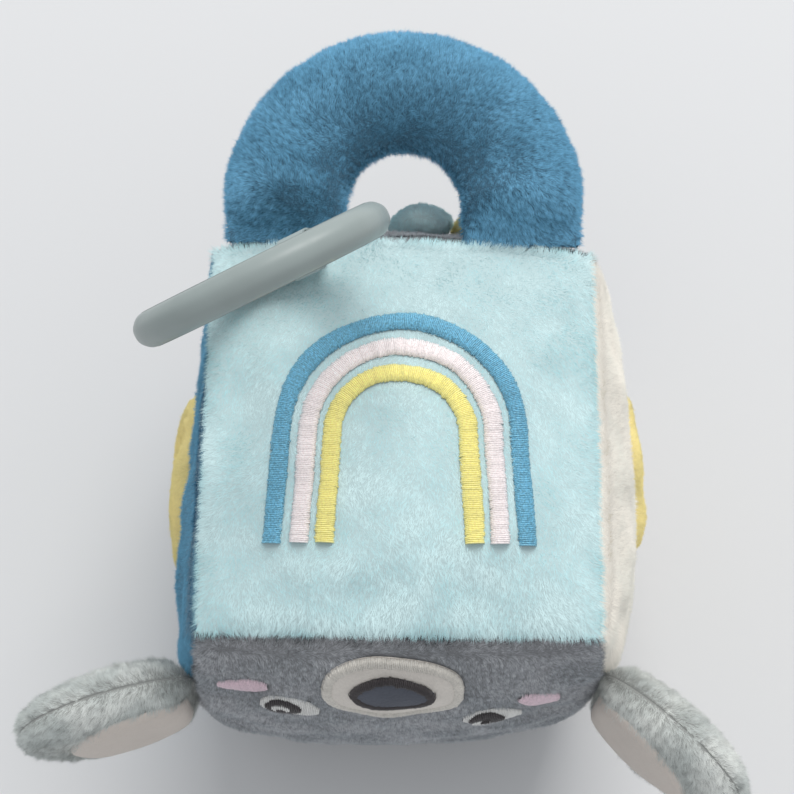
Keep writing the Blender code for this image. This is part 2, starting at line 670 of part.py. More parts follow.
def build_handle():
    """Upper and lower covers of the handle, and its stuffing."""
    hinge = handle_hinge()
    path, across, from_foot = handle_frames()
    turn = np.linspace(0, math.pi, HANDLE_SECTION_STEPS + 1)
    deep = handle_half_depth(from_foot)[:, None]
    wide = HANDLE_TUBE_WIDTH / 2
    wall = HANDLE_COVER_THICKNESS
    lip = COVER_SPLIT_GAP / 2
    for name, side in (("handle_upper_cover", 1), ("handle_lower_cover", -1)):
        out = wide * np.cos(turn) * np.ones_like(deep)
        up = side * (lip + (deep - lip) * np.sin(turn))
        outer = handle_points(path, across, out, up)
        thin_wall = np.minimum(wall, (deep - lip) / 2)
        out = (wide - wall) * np.cos(turn) * np.ones_like(deep)
        up = side * (lip + (deep - lip - thin_wall) * np.sin(turn))
        inner = handle_points(path, across, out, up)
        add_shell(name, outer, inner, "blue_plush", hinge)

    start = HANDLE_LEG_LENGTH / 2
    path, across, from_foot = handle_frames(start)
    turn = np.linspace(0, 2 * math.pi, HANDLE_FILL_STEPS, endpoint=False)
    deep = handle_half_depth(from_foot)[:, None] - wall - HANDLE_FILL_GAP
    out = (wide - wall - HANDLE_FILL_GAP) * np.cos(turn) * np.ones_like(deep)
    sections = handle_points(path, across, out, deep * np.sin(turn))
    add_loft("handle_stuffing", sections, "stuffing", hinge)


def ear_depth(reach, high, radius, start, half_depth, lip):
    """Half thickness of an ear at a reach from the seam and a height above its middle."""
    dome = np.sqrt(np.clip(1 - ((reach - EAR_REACH) ** 2 + high**2) / radius**2, 0, 1))
    swell = np.sin(math.pi / 2 * np.clip((reach - start) / EAR_ROOT_LENGTH, 0, 1))
    return lip + (half_depth - lip) * dome * swell


def ear_chords(middle, radius, start):
    """Reach and height of a grid that fills a disc cut straight beside the seam."""
    first = math.acos((middle - start) / radius)
    last = math.radians(EAR_TIP_ANGLE_DEG)
    angle = first + (last - first) * (1 - np.cos(np.linspace(0, math.pi, EAR_STEPS))) / 2
    share = seam_spacing(EAR_STEPS - 1)
    reach = middle - radius * np.cos(angle)[:, None] * np.ones_like(share)
    return reach, radius * np.sin(angle)[:, None] * share


def ear_points(pivot, turn_deg, reach, high, deep):
    """World points of an ear that points along turn_deg; positive depth is its back."""
    turn = math.radians(turn_deg)
    out = np.array([math.cos(turn), math.sin(turn), 0.0])
    back = np.array([math.sin(turn), -math.cos(turn), 0.0])
    back *= math.copysign(1.0, back[1])
    up = np.array([0.0, 0.0, 1.0])
    return pivot + reach[..., None] * out + high[..., None] * up + deep[..., None] * back


def ear_side(pivot, turn_deg, sign, inset, start):
    """One face of an ear, its rim drawn in to the split between the covers."""
    lip = COVER_SPLIT_GAP / 2
    radius = EAR_RADIUS - inset
    reach, high = ear_chords(EAR_REACH, radius, start)
    deep = ear_depth(reach, high, radius, start, EAR_HALF_DEPTH - inset, lip)
    deep[:, [0, -1]] = lip
    deep[[0, -1], :] = lip
    return ear_points(pivot, turn_deg, reach, high, sign * deep)


def ear_pivot(side):
    """Point on the upright seam beside the face at the height of the ear's middle."""
    v = (EAR_CENTRE_Z - MIDDLE_Z) / HALF_HEIGHT
    x, y = upright_seam(side, -1, v, 0.0, (0.0, 0.0))
    return np.array([x, y, EAR_CENTRE_Z])


def build_ears():
    """Two stuffed ears, each with a back cover, a front cover, a pale inner patch and stuffing."""
    wall = EAR_CLOTH_THICKNESS
    for name, side, turn in (
        ("blue_side_ear", -1, BLUE_EAR_TURN_DEG),
        ("cream_side_ear", 1, CREAM_EAR_TURN_DEG),
    ):
        pivot = ear_pivot(side)
        for cover, sign in (("back_cover", 1), ("front_cover", -1)):
            outer = ear_side(pivot, turn, sign, 0.0, EAR_ROOT_GAP)
            inner = ear_side(pivot, turn, sign, wall, EAR_ROOT_GAP + wall)
            add_shell(f"{name}_{cover}", outer, inner, "grey_plush", pivot)

        inset = wall + EAR_FILL_GAP
        back, front = (ear_side(pivot, turn, sign, inset, EAR_FILL_START) for sign in (1, -1))
        add_shell(f"{name}_stuffing", back, front, "stuffing", pivot)

        reach, high = ear_chords(EAR_PATCH_REACH, EAR_PATCH_RADIUS, EAR_PATCH_START)
        lip = COVER_SPLIT_GAP / 2
        deep = ear_depth(reach, high, EAR_RADIUS, EAR_ROOT_GAP, EAR_HALF_DEPTH, lip)
        low = deep + EAR_PATCH_GAP
        high_side = ear_points(pivot, turn, reach, high, -low - EAR_PATCH_THICKNESS)
        low_side = ear_points(pivot, turn, reach, high, -low)
        add_shell(f"{name}_inner_patch", high_side, low_side, "cream_plush", pivot)


def ring_frame():
    """Centre, axis, and the level and upward directions in the ring's own plane."""
    centre = np.array([RING_CENTRE_X, HALF_DEPTH - RING_CENTRE_SETBACK, TOP_SEAM_Z + RING_CENTRE_RISE])
    axis = np.array(RING_AXIS) / np.linalg.norm(RING_AXIS)
    level = np.cross(np.array([0.0, 0.0, 1.0]), axis)
    level /= -np.linalg.norm(level)
    upward = np.array([0.0, 0.0, 1.0]) - axis[2] * axis
    upward /= np.linalg.norm(upward)
    return centre, axis, level, upward


def ring_section():
    """Half-outline points of the ring's band: a flat outer face with wide bevels."""
    half, deep, bevel = RING_BAND_WIDTH / 2, RING_BAND_DEPTH / 2, RING_BEVEL
    return np.array([
        (-half + bevel, deep), (half - bevel, deep), (half, deep - bevel), (half, -deep + bevel),
        (half - bevel, -deep), (-half + bevel, -deep), (-half, -deep + bevel), (-half, deep - bevel),
    ])


def build_ring():
    """The teether ring, a band of one section turned about its axis."""
    centre, axis, level, upward = ring_frame()
    section = ring_section()
    turn = np.linspace(0, 2 * math.pi, RING_STEPS, endpoint=False)
    spoke = np.cos(turn)[:, None] * level + np.sin(turn)[:, None] * upward
    out = RING_RADIUS + section[:, 1]
    points = centre + spoke[:, None, :] * out[None, :, None] + axis * section[None, :, 0, None]
    add_loft("teether_ring", points, "teether", centre, closed=True)


def teardrop(big, small, drop):
    """Closed outline round a large circle at zero and a small one at drop, as rows of
    sideways place, depth and share of the way down."""
    lean = math.asin((big - small) / drop)
    turn = np.linspace(-math.pi / 2 - lean, math.pi / 2 + lean, RIBBON_ARC_STEPS + 1)
    arc = np.stack([big * np.sin(turn), -big * np.cos(turn)], -1)
    turn = np.linspace(math.pi / 2 + lean, 3 * math.pi / 2 - lean, RIBBON_FOLD_STEPS + 1)
    fold = np.stack([small * np.sin(turn), drop - small * np.cos(turn)], -1)
    share = np.linspace(0, 1, RIBBON_SIDE_STEPS + 2)[1:-1, None]
    down = arc[-1] + (fold[0] - arc[-1]) * share
    up = fold[-1] + (arc[0] - fold[-1]) * share
    return np.concatenate([arc, down, fold, up])


def build_ribbon():
    """Ribbon that runs from the seam round the ring's band and back."""
    centre, _, level, upward = ring_frame()
    angle = math.radians(RIBBON_ANGLE_DEG)
    held = centre + (math.cos(angle) * level + math.sin(angle) * upward) * RING_RADIUS
    tangent = math.cos(angle) * upward - math.sin(angle) * level
    root = np.array([RIBBON_ROOT_X, HALF_DEPTH + RIBBON_ROOT_OUT, TOP_SEAM_Z + RIBBON_ROOT_RISE])
    drop = np.linalg.norm(root - held)
    down = (root - held) / drop
    corner = RING_BAND_WIDTH / 2, RING_BAND_DEPTH / 2 - RING_BEVEL
    reach = math.hypot(*corner) + RIBBON_CLEARANCE
    sheets = [teardrop(reach + layer, RIBBON_FOLD_RADIUS + layer, drop)
              for layer in (0.0, RIBBON_THICKNESS)]
    sections = []
    for inside, outside in zip(*sheets):
        share = smooth(inside[1] / drop)
        lengthways = tangent * (1 - share) + np.array([1.0, 0.0, 0.0]) * share
        lengthways /= np.linalg.norm(lengthways)
        flank = np.cross(down, lengthways)
        flank /= np.linalg.norm(flank)
        half = lengthways * RIBBON_WIDTH / 2
        near = held + flank * inside[0] + down * inside[1]
        far = held + flank * outside[0] + down * outside[1]
        sections.append([near - half, far - half, far + half, near + half])
    add_loft("ribbon_loop", np.array(sections), "ribbon", root, closed=True)


def main():
    clear_scene()
    build_body()
    build_rainbow()
    build_face()
    build_side_shapes()
    build_puffs()
    build_handle()
    build_ears()
    build_ring()
    build_ribbon()


main()
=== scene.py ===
"""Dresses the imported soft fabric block: plush with a real pile, satin stitches and a moulded ring.

Every surface is a sheet over two shares, s and t. The cloth, its pile and whatever is sewn on it
all read the same sheet, so they stay together. The stuffed skins settle in a cloth simulation
before anything is laid on them.
"""

from __future__ import annotations

import logging
import math
from dataclasses import dataclass
from enum import Enum
from typing import Callable, ClassVar, Optional, Sequence

import bmesh
import bpy
import numpy as np
from mathutils import Matrix


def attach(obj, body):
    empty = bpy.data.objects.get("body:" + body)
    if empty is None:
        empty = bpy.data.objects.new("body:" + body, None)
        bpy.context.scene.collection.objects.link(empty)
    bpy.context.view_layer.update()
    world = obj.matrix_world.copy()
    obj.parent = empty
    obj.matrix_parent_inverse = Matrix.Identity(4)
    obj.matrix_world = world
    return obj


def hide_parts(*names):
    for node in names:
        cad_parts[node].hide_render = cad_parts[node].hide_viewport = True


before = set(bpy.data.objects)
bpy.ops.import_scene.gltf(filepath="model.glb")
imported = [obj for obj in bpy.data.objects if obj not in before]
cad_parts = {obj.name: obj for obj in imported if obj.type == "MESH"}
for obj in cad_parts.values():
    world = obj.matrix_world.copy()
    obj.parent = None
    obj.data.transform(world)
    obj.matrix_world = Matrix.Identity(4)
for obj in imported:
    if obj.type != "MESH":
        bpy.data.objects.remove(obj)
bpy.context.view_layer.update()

logging.basicConfig(level=logging.INFO, format="%(message)s")
LOG = logging.getLogger("soft_block")

MM = 0.001
PUFF_CLOTH_THICKNESS = 0.25 * MM
EAR_CLOTH_THICKNESS = 0.8 * MM
HANDLE_MOVE_CAP = 1.0 * MM

# Seam box, the same values as in the CAD source
SEAM_WIDTH = 100 * MM
SEAM_DEPTH = 103 * MM
SEAM_HEIGHT = 100 * MM
BASE_SEAM_RISE = 10 * MM
HALF_WIDTH = SEAM_WIDTH / 2
HALF_DEPTH = SEAM_DEPTH / 2
HALF_HEIGHT = SEAM_HEIGHT / 2
MIDDLE_Z = BASE_SEAM_RISE + HALF_HEIGHT
TOP_SEAM_Z = BASE_SEAM_RISE + SEAM_HEIGHT
CROWN_POWER = 0.40
HANDLE_SEAM_BOW = 2.9 * MM
HANDLE_SEAM_LEAN = 0.3
LUMP_HEIGHT = 0.45 * MM
LUMP_WIDTH = 19 * MM
CLOTH_THICKNESS = 1.2 * MM

# Rainbow
BAND_WIDTH = 4.8 * MM
BAND_FOOT_Y = -30.5 * MM
BAND_SPRING_Y = -2.5 * MM

# Face
FACE_CENTRE_X = -1.3 * MM
FACE_ROLL_DEG = -5.0
FEATURE_ROLL_DEG = -7.5
SQUARED_OVAL = 2.5
POINTED_OVAL = 1.95

# Handle
HANDLE_TUBE_WIDTH = 31.0 * MM
HANDLE_TUBE_DEPTH = 26.0 * MM
HANDLE_ARCH_RADIUS = 31.1 * MM
HANDLE_LEG_LENGTH = 10.0 * MM
HANDLE_TILT_DEG = 12.0
HANDLE_FOOT_DEPTH = 2.2 * MM
HANDLE_SWELL_LENGTH = 13.0 * MM
HANDLE_RUN = 2 * HANDLE_LEG_LENGTH + math.pi * HANDLE_ARCH_RADIUS
HANDLE_HINGE = (0.0, HALF_DEPTH + 2.6 * MM, TOP_SEAM_Z + 1.4 * MM)

# Ears
EAR_RADIUS = 25.0 * MM
EAR_REACH = 23.5 * MM
EAR_HALF_DEPTH = 8.4 * MM
EAR_ROOT_LENGTH = 7.0 * MM
EAR_ROOT_GAP = 0.5 * MM
EAR_CENTRE_Z = 66.0 * MM
EAR_TIP_ANGLE_DEG = 179.0
EAR_PATCH_RADIUS = 17.2 * MM
EAR_PATCH_REACH = 19.6 * MM
EAR_PATCH_START = 4.0 * MM
EAR_PATCH_LIFT = 1.5 * MM

# Ring and its ribbon
RING_RADIUS = 29.9 * MM
RING_BAND_WIDTH = 8.8 * MM
RING_BAND_DEPTH = 8.0 * MM
RING_BEVEL = 2.2 * MM
RING_FILLET = 1.5 * MM
RING_CENTRE = (-34.0 * MM, HALF_DEPTH - 23.2 * MM, TOP_SEAM_Z + 38.5 * MM)
RING_AXIS = (-0.4515, 0.8002, 0.3947)
RIBBON_WIDTH = 7.6 * MM
RIBBON_THICKNESS = 0.5 * MM
RIBBON_CLEARANCE = 0.5 * MM
RIBBON_ANGLE_DEG = -60.0
RIBBON_ROOT = (-22.6 * MM, HALF_DEPTH + 1.9 * MM, TOP_SEAM_Z + 4.8 * MM)
RIBBON_FOLD_RADIUS = 0.3 * MM

# Camera, fitted to the photograph: direction, roll, distance and slide
CAMERA_LENS = 79.5718
CAMERA_SENSOR = 36.0
CAMERA_TILT_DEG = 19.9
CAMERA_TURN_DEG = -0.07
CAMERA_ROLL_DEG = -0.76
CAMERA_DISTANCE = 0.4498
CAMERA_SLIDE = (0.97 * MM, -10.54 * MM)


class Body(Enum):
    """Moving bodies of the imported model."""

    BLOCK = "block"
    HANDLE = "handle"
    BLUE_EAR = "blue_side_ear"
    CREAM_EAR = "cream_side_ear"
    LOOP = "ring_loop"
    RING = "ring"


class Face(Enum):
    """The six panels: node, crown height, lean towards the low end, and outward direction."""

    RAINBOW = ("rainbow_panel", 12 * MM, 0.0, (0, 0, 1))
    BASE = ("base_panel", 14 * MM, 0.0, (0, 0, -1))
    FRONT = ("face_panel", 13 * MM, 0.12, (0, -1, 0))
    BACK = ("back_panel", 11 * MM, 0.0, (0, 1, 0))
    BLUE = ("blue_side_panel", 5.4 * MM, 0.75, (-1, 0, 0))
    CREAM = ("cream_side_panel", 9.8 * MM, 0.2, (1, 0, 0))

    @property
    def node(self) -> str:
        """Name of its CAD node."""
        return self.value[0]

    @property
    def crown(self) -> float:
        """Height of its crown."""
        return self.value[1]

    @property
    def lean(self) -> float:
        """How far its crown leans towards the low end."""
        return self.value[2]

    @property
    def outward(self) -> np.ndarray:
        """Its outward direction."""
        return np.array(self.value[3], float)

    @property
    def axes(self) -> list[int]:
        """The two axes that lie in the panel."""
        return [k for k in range(3) if not self.value[3][k]]


# Outward bow of each upright seam at half height, across and along
SEAM_BOWS = {
    (-1, -1): (3.0 * MM, 4.5 * MM),
    (1, -1): (3.5 * MM, 1.5 * MM),
    (-1, 1): (2.2 * MM, 4.0 * MM),
    (1, 1): (4.6 * MM, 4.0 * MM),
}


# Shaders

Colour = tuple[float, float, float]


class Socket:
    """One output of a shader graph, with the usual arithmetic."""

    def __init__(self, graph: "Graph", link: bpy.types.NodeSocket) -> None:
        """Remembers the graph and the output."""
        self.graph = graph
        self.link = link

    def maths(self, operation: str, *values: object) -> "Socket":
        """A math node on plain values and sockets."""
        return self.graph.node("ShaderNodeMath", values, operation=operation)

    def __add__(self, other: object) -> "Socket":
        """The sum."""
        return self.maths("ADD", self, other)

    __radd__ = __add__

    def __sub__(self, other: object) -> "Socket":
        """The difference."""
        return self.maths("SUBTRACT", self, other)

    def __rsub__(self, other: object) -> "Socket":
        """The difference from a plain value."""
        return self.maths("SUBTRACT", other, self)

    def __mul__(self, other: object) -> "Socket":
        """The product."""
        return self.maths("MULTIPLY", self, other)

    __rmul__ = __mul__

    def __truediv__(self, other: object) -> "Socket":
        """The quotient."""
        return self.maths("DIVIDE", self, other)

    def __rtruediv__(self, other: object) -> "Socket":
        """A plain value divided by this."""
        return self.maths("DIVIDE", other, self)

    def wave(self) -> "Socket":
        """The sine."""
        return self.maths("SINE", self)

    def steps(self, low: float, high: float) -> "Socket":
        """Rises from 0 at low to 1 at high, with flat ends."""
        values = (self, low, high, 0.0, 1.0)
        return self.graph.node("ShaderNodeMapRange", values, interpolation_type="SMOOTHSTEP")

    def blend(self, low: object, high: object) -> "Socket":
        """A colour between low and high, by this share."""
        values = {"Factor": self, 6: low, 7: high}
        return self.graph.node("ShaderNodeMix", values, output=2, data_type="RGBA")


class Graph:
    """A material's node tree, written as sums."""

    def __init__(self, name: str) -> None:
        """Makes the material with its shader."""
        self.material = bpy.data.materials.new(name)
        self.material.use_nodes = True
        self.tree = self.material.node_tree
        self.shader = self.tree.nodes["Principled BSDF"]
        self.place = self.node("ShaderNodeTexCoord", (), output="Object")

    def feed(self, target: bpy.types.NodeSocket, value: object) -> None:
        """Links a socket, or sets a plain value on it."""
        if isinstance(value, Socket):
            self.tree.links.new(value.link, target)
        elif isinstance(value, tuple) and target.type == "RGBA":
            target.default_value = (*value, 1.0)
        else:
            target.default_value = value

    def node(self, kind: str, values: object, output: object = 0, **settings: object) -> Socket:
        """Makes any node.

        Args:
            kind: Its type name.
            values: Its inputs, in order or by name.
            output: Which output is wanted.
            settings: Its own settings, set before the inputs.

        Returns:
            The wanted output.
        """
        made = self.tree.nodes.new(kind)
        for key, value in settings.items():
            setattr(made, key, value)
        pairs = values.items() if isinstance(values, dict) else enumerate(values)
        for key, value in pairs:
            self.feed(made.inputs[key], value)
        return Socket(self, made.outputs[output])

    def attribute(self, name: str) -> Socket:
        """A number stored on the mesh."""
        return self.node("ShaderNodeAttribute", (), output="Fac", attribute_name=name)

    def noise(self, grain: float, detail: float = 2.0, rough: float = 0.5) -> Socket:
        """Noise whose features are about one grain across, in metres."""
        values = {"Vector": self.place, "Scale": 1 / grain, "Detail": detail, "Roughness": rough}
        return self.node("ShaderNodeTexNoise", values)

    def scaled(self, colour: object, level: Socket) -> Socket:
        """A colour made lighter or darker by a number."""
        return self.node("ShaderNodeVectorMath", {0: colour, "Scale": level}, operation="SCALE")

    def colour(self, value: Socket) -> None:
        """Feeds the base colour."""
        self.feed(self.shader.inputs["Base Color"], value)

    def bump(self, height: Socket, depth: float) -> None:
        """Feeds the shader's normal from a height; depth is in metres."""
        values = {"Distance": depth, "Height": height}
        self.feed(self.shader.inputs["Normal"], self.node("ShaderNodeBump", values))

    def set(self, **constants: object) -> None:
        """Plain values on the shader's own sockets; underscores stand for spaces."""
        for name, value in constants.items():
            self.feed(self.shader.inputs[name.replace("_", " ")], value)


def shade(colour: Colour, factor: float) -> Colour:
    """The colour made lighter or darker."""
    return tuple(min(1.0, c * factor) for c in colour)


def linear(red: int, green: int, blue: int) -> Colour:
    """A screen colour, 0 to 255, as linear light."""
    levels = np.array([red, green, blue]) / 255
    light = np.where(levels <= 0.04045, levels / 12.92, ((levels + 0.055) / 1.055) ** 2.4)
    return tuple(float(c) for c in light)


class Finish:
    """A named finish whose material is built once."""

    made: dict[str, bpy.types.Material] = {}

    def material(self) -> bpy.types.Material:
        """The finish's material, made at its first use."""
        if self.name not in Finish.made:
            graph = Graph(self.name)
            self.draw(graph)
            Finish.made[self.name] = graph.material
        return Finish.made[self.name]

    def draw(self, graph: Graph) -> None:
        """Draws the finish into its graph."""
        raise NotImplementedError


@dataclass(frozen=True)
class PileFinish(Finish):
    """Fibres of a plush pile: painted shade at the root, painted light at the tip, and a brushed
    mottle of painted light and shade.
    """

    name: str
    colour: Colour
    painted_root_shade: float = 0.66
    painted_tip_light: float = 1.08
    mottle_grain: float = 13 * MM
    mottle: float = 0.14
    streak_grain: float = 2.4 * MM
    streaks: float = 0.16
    tone: float = 0.22
    nap_shade_tint: tuple[float, float, float] = (0.93, 0.97, 0.98)

    def draw(self, graph: Graph) -> None:
        """Painted root shade to painted tip light, times the brushed mottle, the streaks and each
        fibre's tone.
        """
        tip = graph.attribute("tip").steps(0.0, 0.7)
        # The brushed mottle and the streaks paint the light and shade of nap brushed different ways
        brushed = graph.noise(self.mottle_grain, 2.0).steps(0.3, 0.7)
        streaked = graph.noise(self.streak_grain, 3.0, 0.6).steps(0.3, 0.7)
        # In the darker brushed patches the colour takes this tint: painted shade of the nap
        pressed = tuple(c * h for c, h in zip(self.colour, self.nap_shade_tint))
        # The roots are painted darker, as shade deep in the pile, and the tips lighter, as light
        # that they catch
        base = tip.blend(
            shade(self.colour, self.painted_root_shade),
            brushed.blend(shade(pressed, self.painted_tip_light), shade(self.colour, self.painted_tip_light)),
        )
        level = 1 + self.mottle * (brushed - 0.5) + self.streaks * (streaked - 0.5)
        level = level + self.tone * (graph.attribute("tone") - 0.5)
        graph.colour(graph.scaled(base, level))
        # A layer of shine would darken the blades that lean towards the viewer
        graph.set(Roughness=1.0, Specular_IOR_Level=0.0)


@dataclass(frozen=True)
class FleeceFinish(Finish):
    """The backing under a pile, or a short brushed fleece with no fibres to see."""

    name: str
    colour: Colour
    grain: float = 0.5 * MM
    depth: float = 0.12 * MM
    mottle: float = 0.14

    def draw(self, graph: Graph) -> None:
        """Colour and bump from a fine and a broad grain."""
        fine = graph.noise(self.grain, 3.0, 0.65)
        broad = graph.noise(8 * MM, 2.0)
        level = 1 + self.mottle * (fine - 0.5) + self.mottle * (broad - 0.5)
        graph.colour(graph.scaled(self.colour, level))
        graph.bump(fine + 0.8 * broad, self.depth)
        graph.set(Roughness=0.95, Sheen_Weight=0.15, Sheen_Roughness=0.5, Specular_IOR_Level=0.2)


@dataclass(frozen=True)
class ThreadFinish(Finish):
    """Satin embroidery thread: each thread has its own tone and a soft shine."""

    name: str
    colour: Colour
    roughness: float = 0.36
    tone: float = 0.12
    fleck_grain: float = 0.5 * MM
    flecks: float = 0.3

    def draw(self, graph: Graph) -> None:
        """Colour by the thread's arch, painted darker at its ends as shade where they dive into the
        pile, by its tone and by its flecks.
        """
        arch = graph.attribute("tip").steps(0.0, 0.6)
        # The thread is painted darker towards its ends: painted shade where it dives into the pile
        base = arch.blend(shade(self.colour, 0.8), self.colour)
        # The flecks are random tone along the thread and also paint the satin's small glints as
        # painted highlight
        fleck = graph.noise(self.fleck_grain, 2.0, 0.6).steps(0.3, 0.7)
        level = 1 + self.tone * (graph.attribute("tone") - 0.5) + self.flecks * (fleck - 0.5)
        graph.colour(graph.scaled(base, level))
        graph.bump(graph.noise(0.12 * MM, 1.0), 0.03 * MM)
        graph.set(Roughness=self.roughness, Sheen_Weight=0.1, Specular_IOR_Level=0.5)


@dataclass(frozen=True)
class MouldedFinish(Finish):
    """Soft moulded plastic with faint flow marks, a fine grain and handling scuffs."""

    name: str
    colour: Colour

    def draw(self, graph: Graph) -> None:
        """Flow marks in the colour, scuffs in the roughness."""
        flow = graph.noise(16 * MM, 2.0).steps(0.25, 0.75)
        graph.colour(flow.blend(shade(self.colour, 0.95), shade(self.colour, 1.05)))
        scuffs = graph.noise(3 * MM, 4.0, 0.7).steps(0.45, 0.75)
        graph.feed(graph.shader.inputs["Roughness"], 0.40 + 0.16 * scuffs)
        graph.bump(graph.noise(0.4 * MM), 0.015 * MM)
        graph.set(Specular_IOR_Level=0.45, Coat_Weight=0.06, Coat_Roughness=0.3)


@dataclass(frozen=True)
class RibbonFinish(Finish):
    """Woven ribbon with fine ribs across it."""

    name: str
    colour: Colour
    rib: float = 0.55 * MM

    def draw(self, graph: Graph) -> None:
        """Ribs along the ribbon's run."""
        ribs = (graph.attribute("tip") * (2 * math.pi / self.rib)).wave()
        level = 1 + 0.10 * ribs + 0.10 * (graph.noise(0.3 * MM, 3.0) - 0.5)
        graph.colour(graph.scaled(self.colour, level))
        graph.bump(ribs, 0.08 * MM)
        graph.set(Roughness=0.7, Sheen_Weight=0.1, Specular_IOR_Level=0.3)


@dataclass(frozen=True)
class FloorFinish(Finish):
    """The plain pale studio surface."""

    name: str
    colour: Colour

    def draw(self, graph: Graph) -> None:
        """A plain matt colour."""
        graph.set(Base_Color=self.colour, Roughness=0.9, Specular_IOR_Level=0.1)


AQUA = linear(209, 235, 238)
HANDLE_BLUE = linear(98, 149, 180)
SIDE_BLUE = linear(102, 153, 182)
GREY = linear(152, 154, 158)
EAR_GREY = linear(205, 208, 205)
CREAM = linear(246, 240, 229)
YELLOW = linear(243, 224, 154)
FLOOR_GREY = linear(223, 224, 226)

AQUA_PILE = PileFinish(
    "aqua_pile", AQUA, 0.88, 1.05, streaks=0.08, tone=0.12, nap_shade_tint=(0.74, 0.93, 0.96))
HANDLE_PILE = PileFinish(
    "handle_pile", HANDLE_BLUE, 0.4, 1.32,
    mottle=0.16, streak_grain=1.3 * MM, streaks=0.3, tone=0.5)
SIDE_PILE = PileFinish("side_blue_pile", SIDE_BLUE, painted_root_shade=0.6)
GREY_PILE = PileFinish(
    "grey_pile", GREY, 0.56, 1.24, mottle=0.24, streak_grain=1.3 * MM, streaks=0.55, tone=0.6)
EAR_PILE = PileFinish("ear_pile", EAR_GREY, 0.53, 1.12, mottle=0.3, tone=0.3)
CREAM_PILE = PileFinish("cream_pile", CREAM, 0.94, 1.02, tone=0.04, mottle=0.06, streaks=0.03)
YELLOW_PILE = PileFinish("yellow_pile", YELLOW, 0.95, 1.05, tone=0.12, mottle=0.06, streaks=0.06)
# Each backing is its pile's colour made darker: painted shade under the fibres, which cast no shadow
AQUA_BACKING = FleeceFinish("aqua_backing", shade(AQUA, 0.84))
HANDLE_BACKING = FleeceFinish("handle_backing", shade(HANDLE_BLUE, 0.5))
SIDE_BACKING = FleeceFinish("side_blue_backing", shade(SIDE_BLUE, 0.55))
GREY_BACKING = FleeceFinish("grey_backing", shade(GREY, 0.6))
EAR_BACKING = FleeceFinish("ear_backing", shade(EAR_GREY, 0.5))
CREAM_BACKING = FleeceFinish("cream_backing", shade(CREAM, 0.8))
YELLOW_BACKING = FleeceFinish("yellow_backing", shade(YELLOW, 0.92))
CREAM_FLEECE = FleeceFinish("cream_fleece", linear(212, 203, 195), 0.7 * MM, 0.2 * MM, 0.10)
MUZZLE_FLEECE = FleeceFinish("muzzle_fleece", linear(222, 216, 209), 0.7 * MM, 0.3 * MM, 0.24)
NOSE_CLOTH = FleeceFinish("nose_cloth", linear(88, 92, 102), 0.6 * MM, 0.3 * MM, 0.3)
BLUE_THREAD = ThreadFinish("blue_thread", linear(124, 190, 217), flecks=0.6)
PINK_THREAD = ThreadFinish("pink_thread", linear(255, 247, 247), flecks=0.22)
YELLOW_THREAD = ThreadFinish("yellow_thread", linear(255, 246, 162), flecks=0.22)
WHITE_THREAD = ThreadFinish("white_thread", linear(228, 228, 226), flecks=0.2)
MUZZLE_THREAD = ThreadFinish("muzzle_thread", linear(218, 214, 207), flecks=0.2)
DARK_THREAD = ThreadFinish("dark_thread", linear(56, 51, 53))
ROSE_THREAD = ThreadFinish("cheek_thread", linear(230, 208, 218), flecks=0.25)
RIBBON_CLOTH = RibbonFinish("ribbon_cloth", linear(178, 192, 192))
RING_PLASTIC = MouldedFinish("ring_plastic", linear(150, 161, 160))
FLOOR = FloorFinish("studio_floor", FLOOR_GREY)


# Sheets in space


def smooth(x: np.ndarray) -> np.ndarray:
    """Rises from 0 to 1 with flat ends."""
    x = np.clip(x, 0, 1)
    return x * x * (3 - 2 * x)


def unit(v: np.ndarray) -> np.ndarray:
    """Vectors of length 1."""
    return v / np.maximum(np.linalg.norm(v, axis=-1, keepdims=True), 1e-12)


def belly(v: np.ndarray) -> np.ndarray:
    """Bow share of a seam: 1 halfway along it and 0 at its ends."""
    return 1 - v * v


def eased(steps: int) -> np.ndarray:
    """Shares from 0 to 1 that lie closer together at both ends."""
    return (1 - np.cos(np.linspace(0, math.pi, steps))) / 2


class Waves:
    """Smooth noise in space: a sum of cosines in random directions.

    The value at p is the sum of cos(k . p + phase) over count ** 0.5, with every k near
    2 pi / wavelength.
    """

    def __init__(self, wavelength: float, seed: int, count: int = 16) -> None:
        """Draws the directions and phases."""
        rng = np.random.default_rng(seed)
        self.k = unit(rng.normal(size=(count, 3)))
        self.k *= 2 * math.pi / wavelength * rng.uniform(0.7, 1.4, (count, 1))
        self.phase = rng.uniform(0, 2 * math.pi, count)

    def __call__(self, points: np.ndarray) -> np.ndarray:
        """The noise at points."""
        return np.cos(points @ self.k.T + self.phase).sum(-1) / len(self.phase) ** 0.5


def spline_weight(x: np.ndarray) -> np.ndarray:
    """Weight of a grid value x cells away: the cubic B-spline."""
    x = np.abs(x)
    near = 2 / 3 - x * x + x * x * x / 2
    return np.where(x < 1, near, np.clip(2 - x, 0, None) ** 3 / 6)


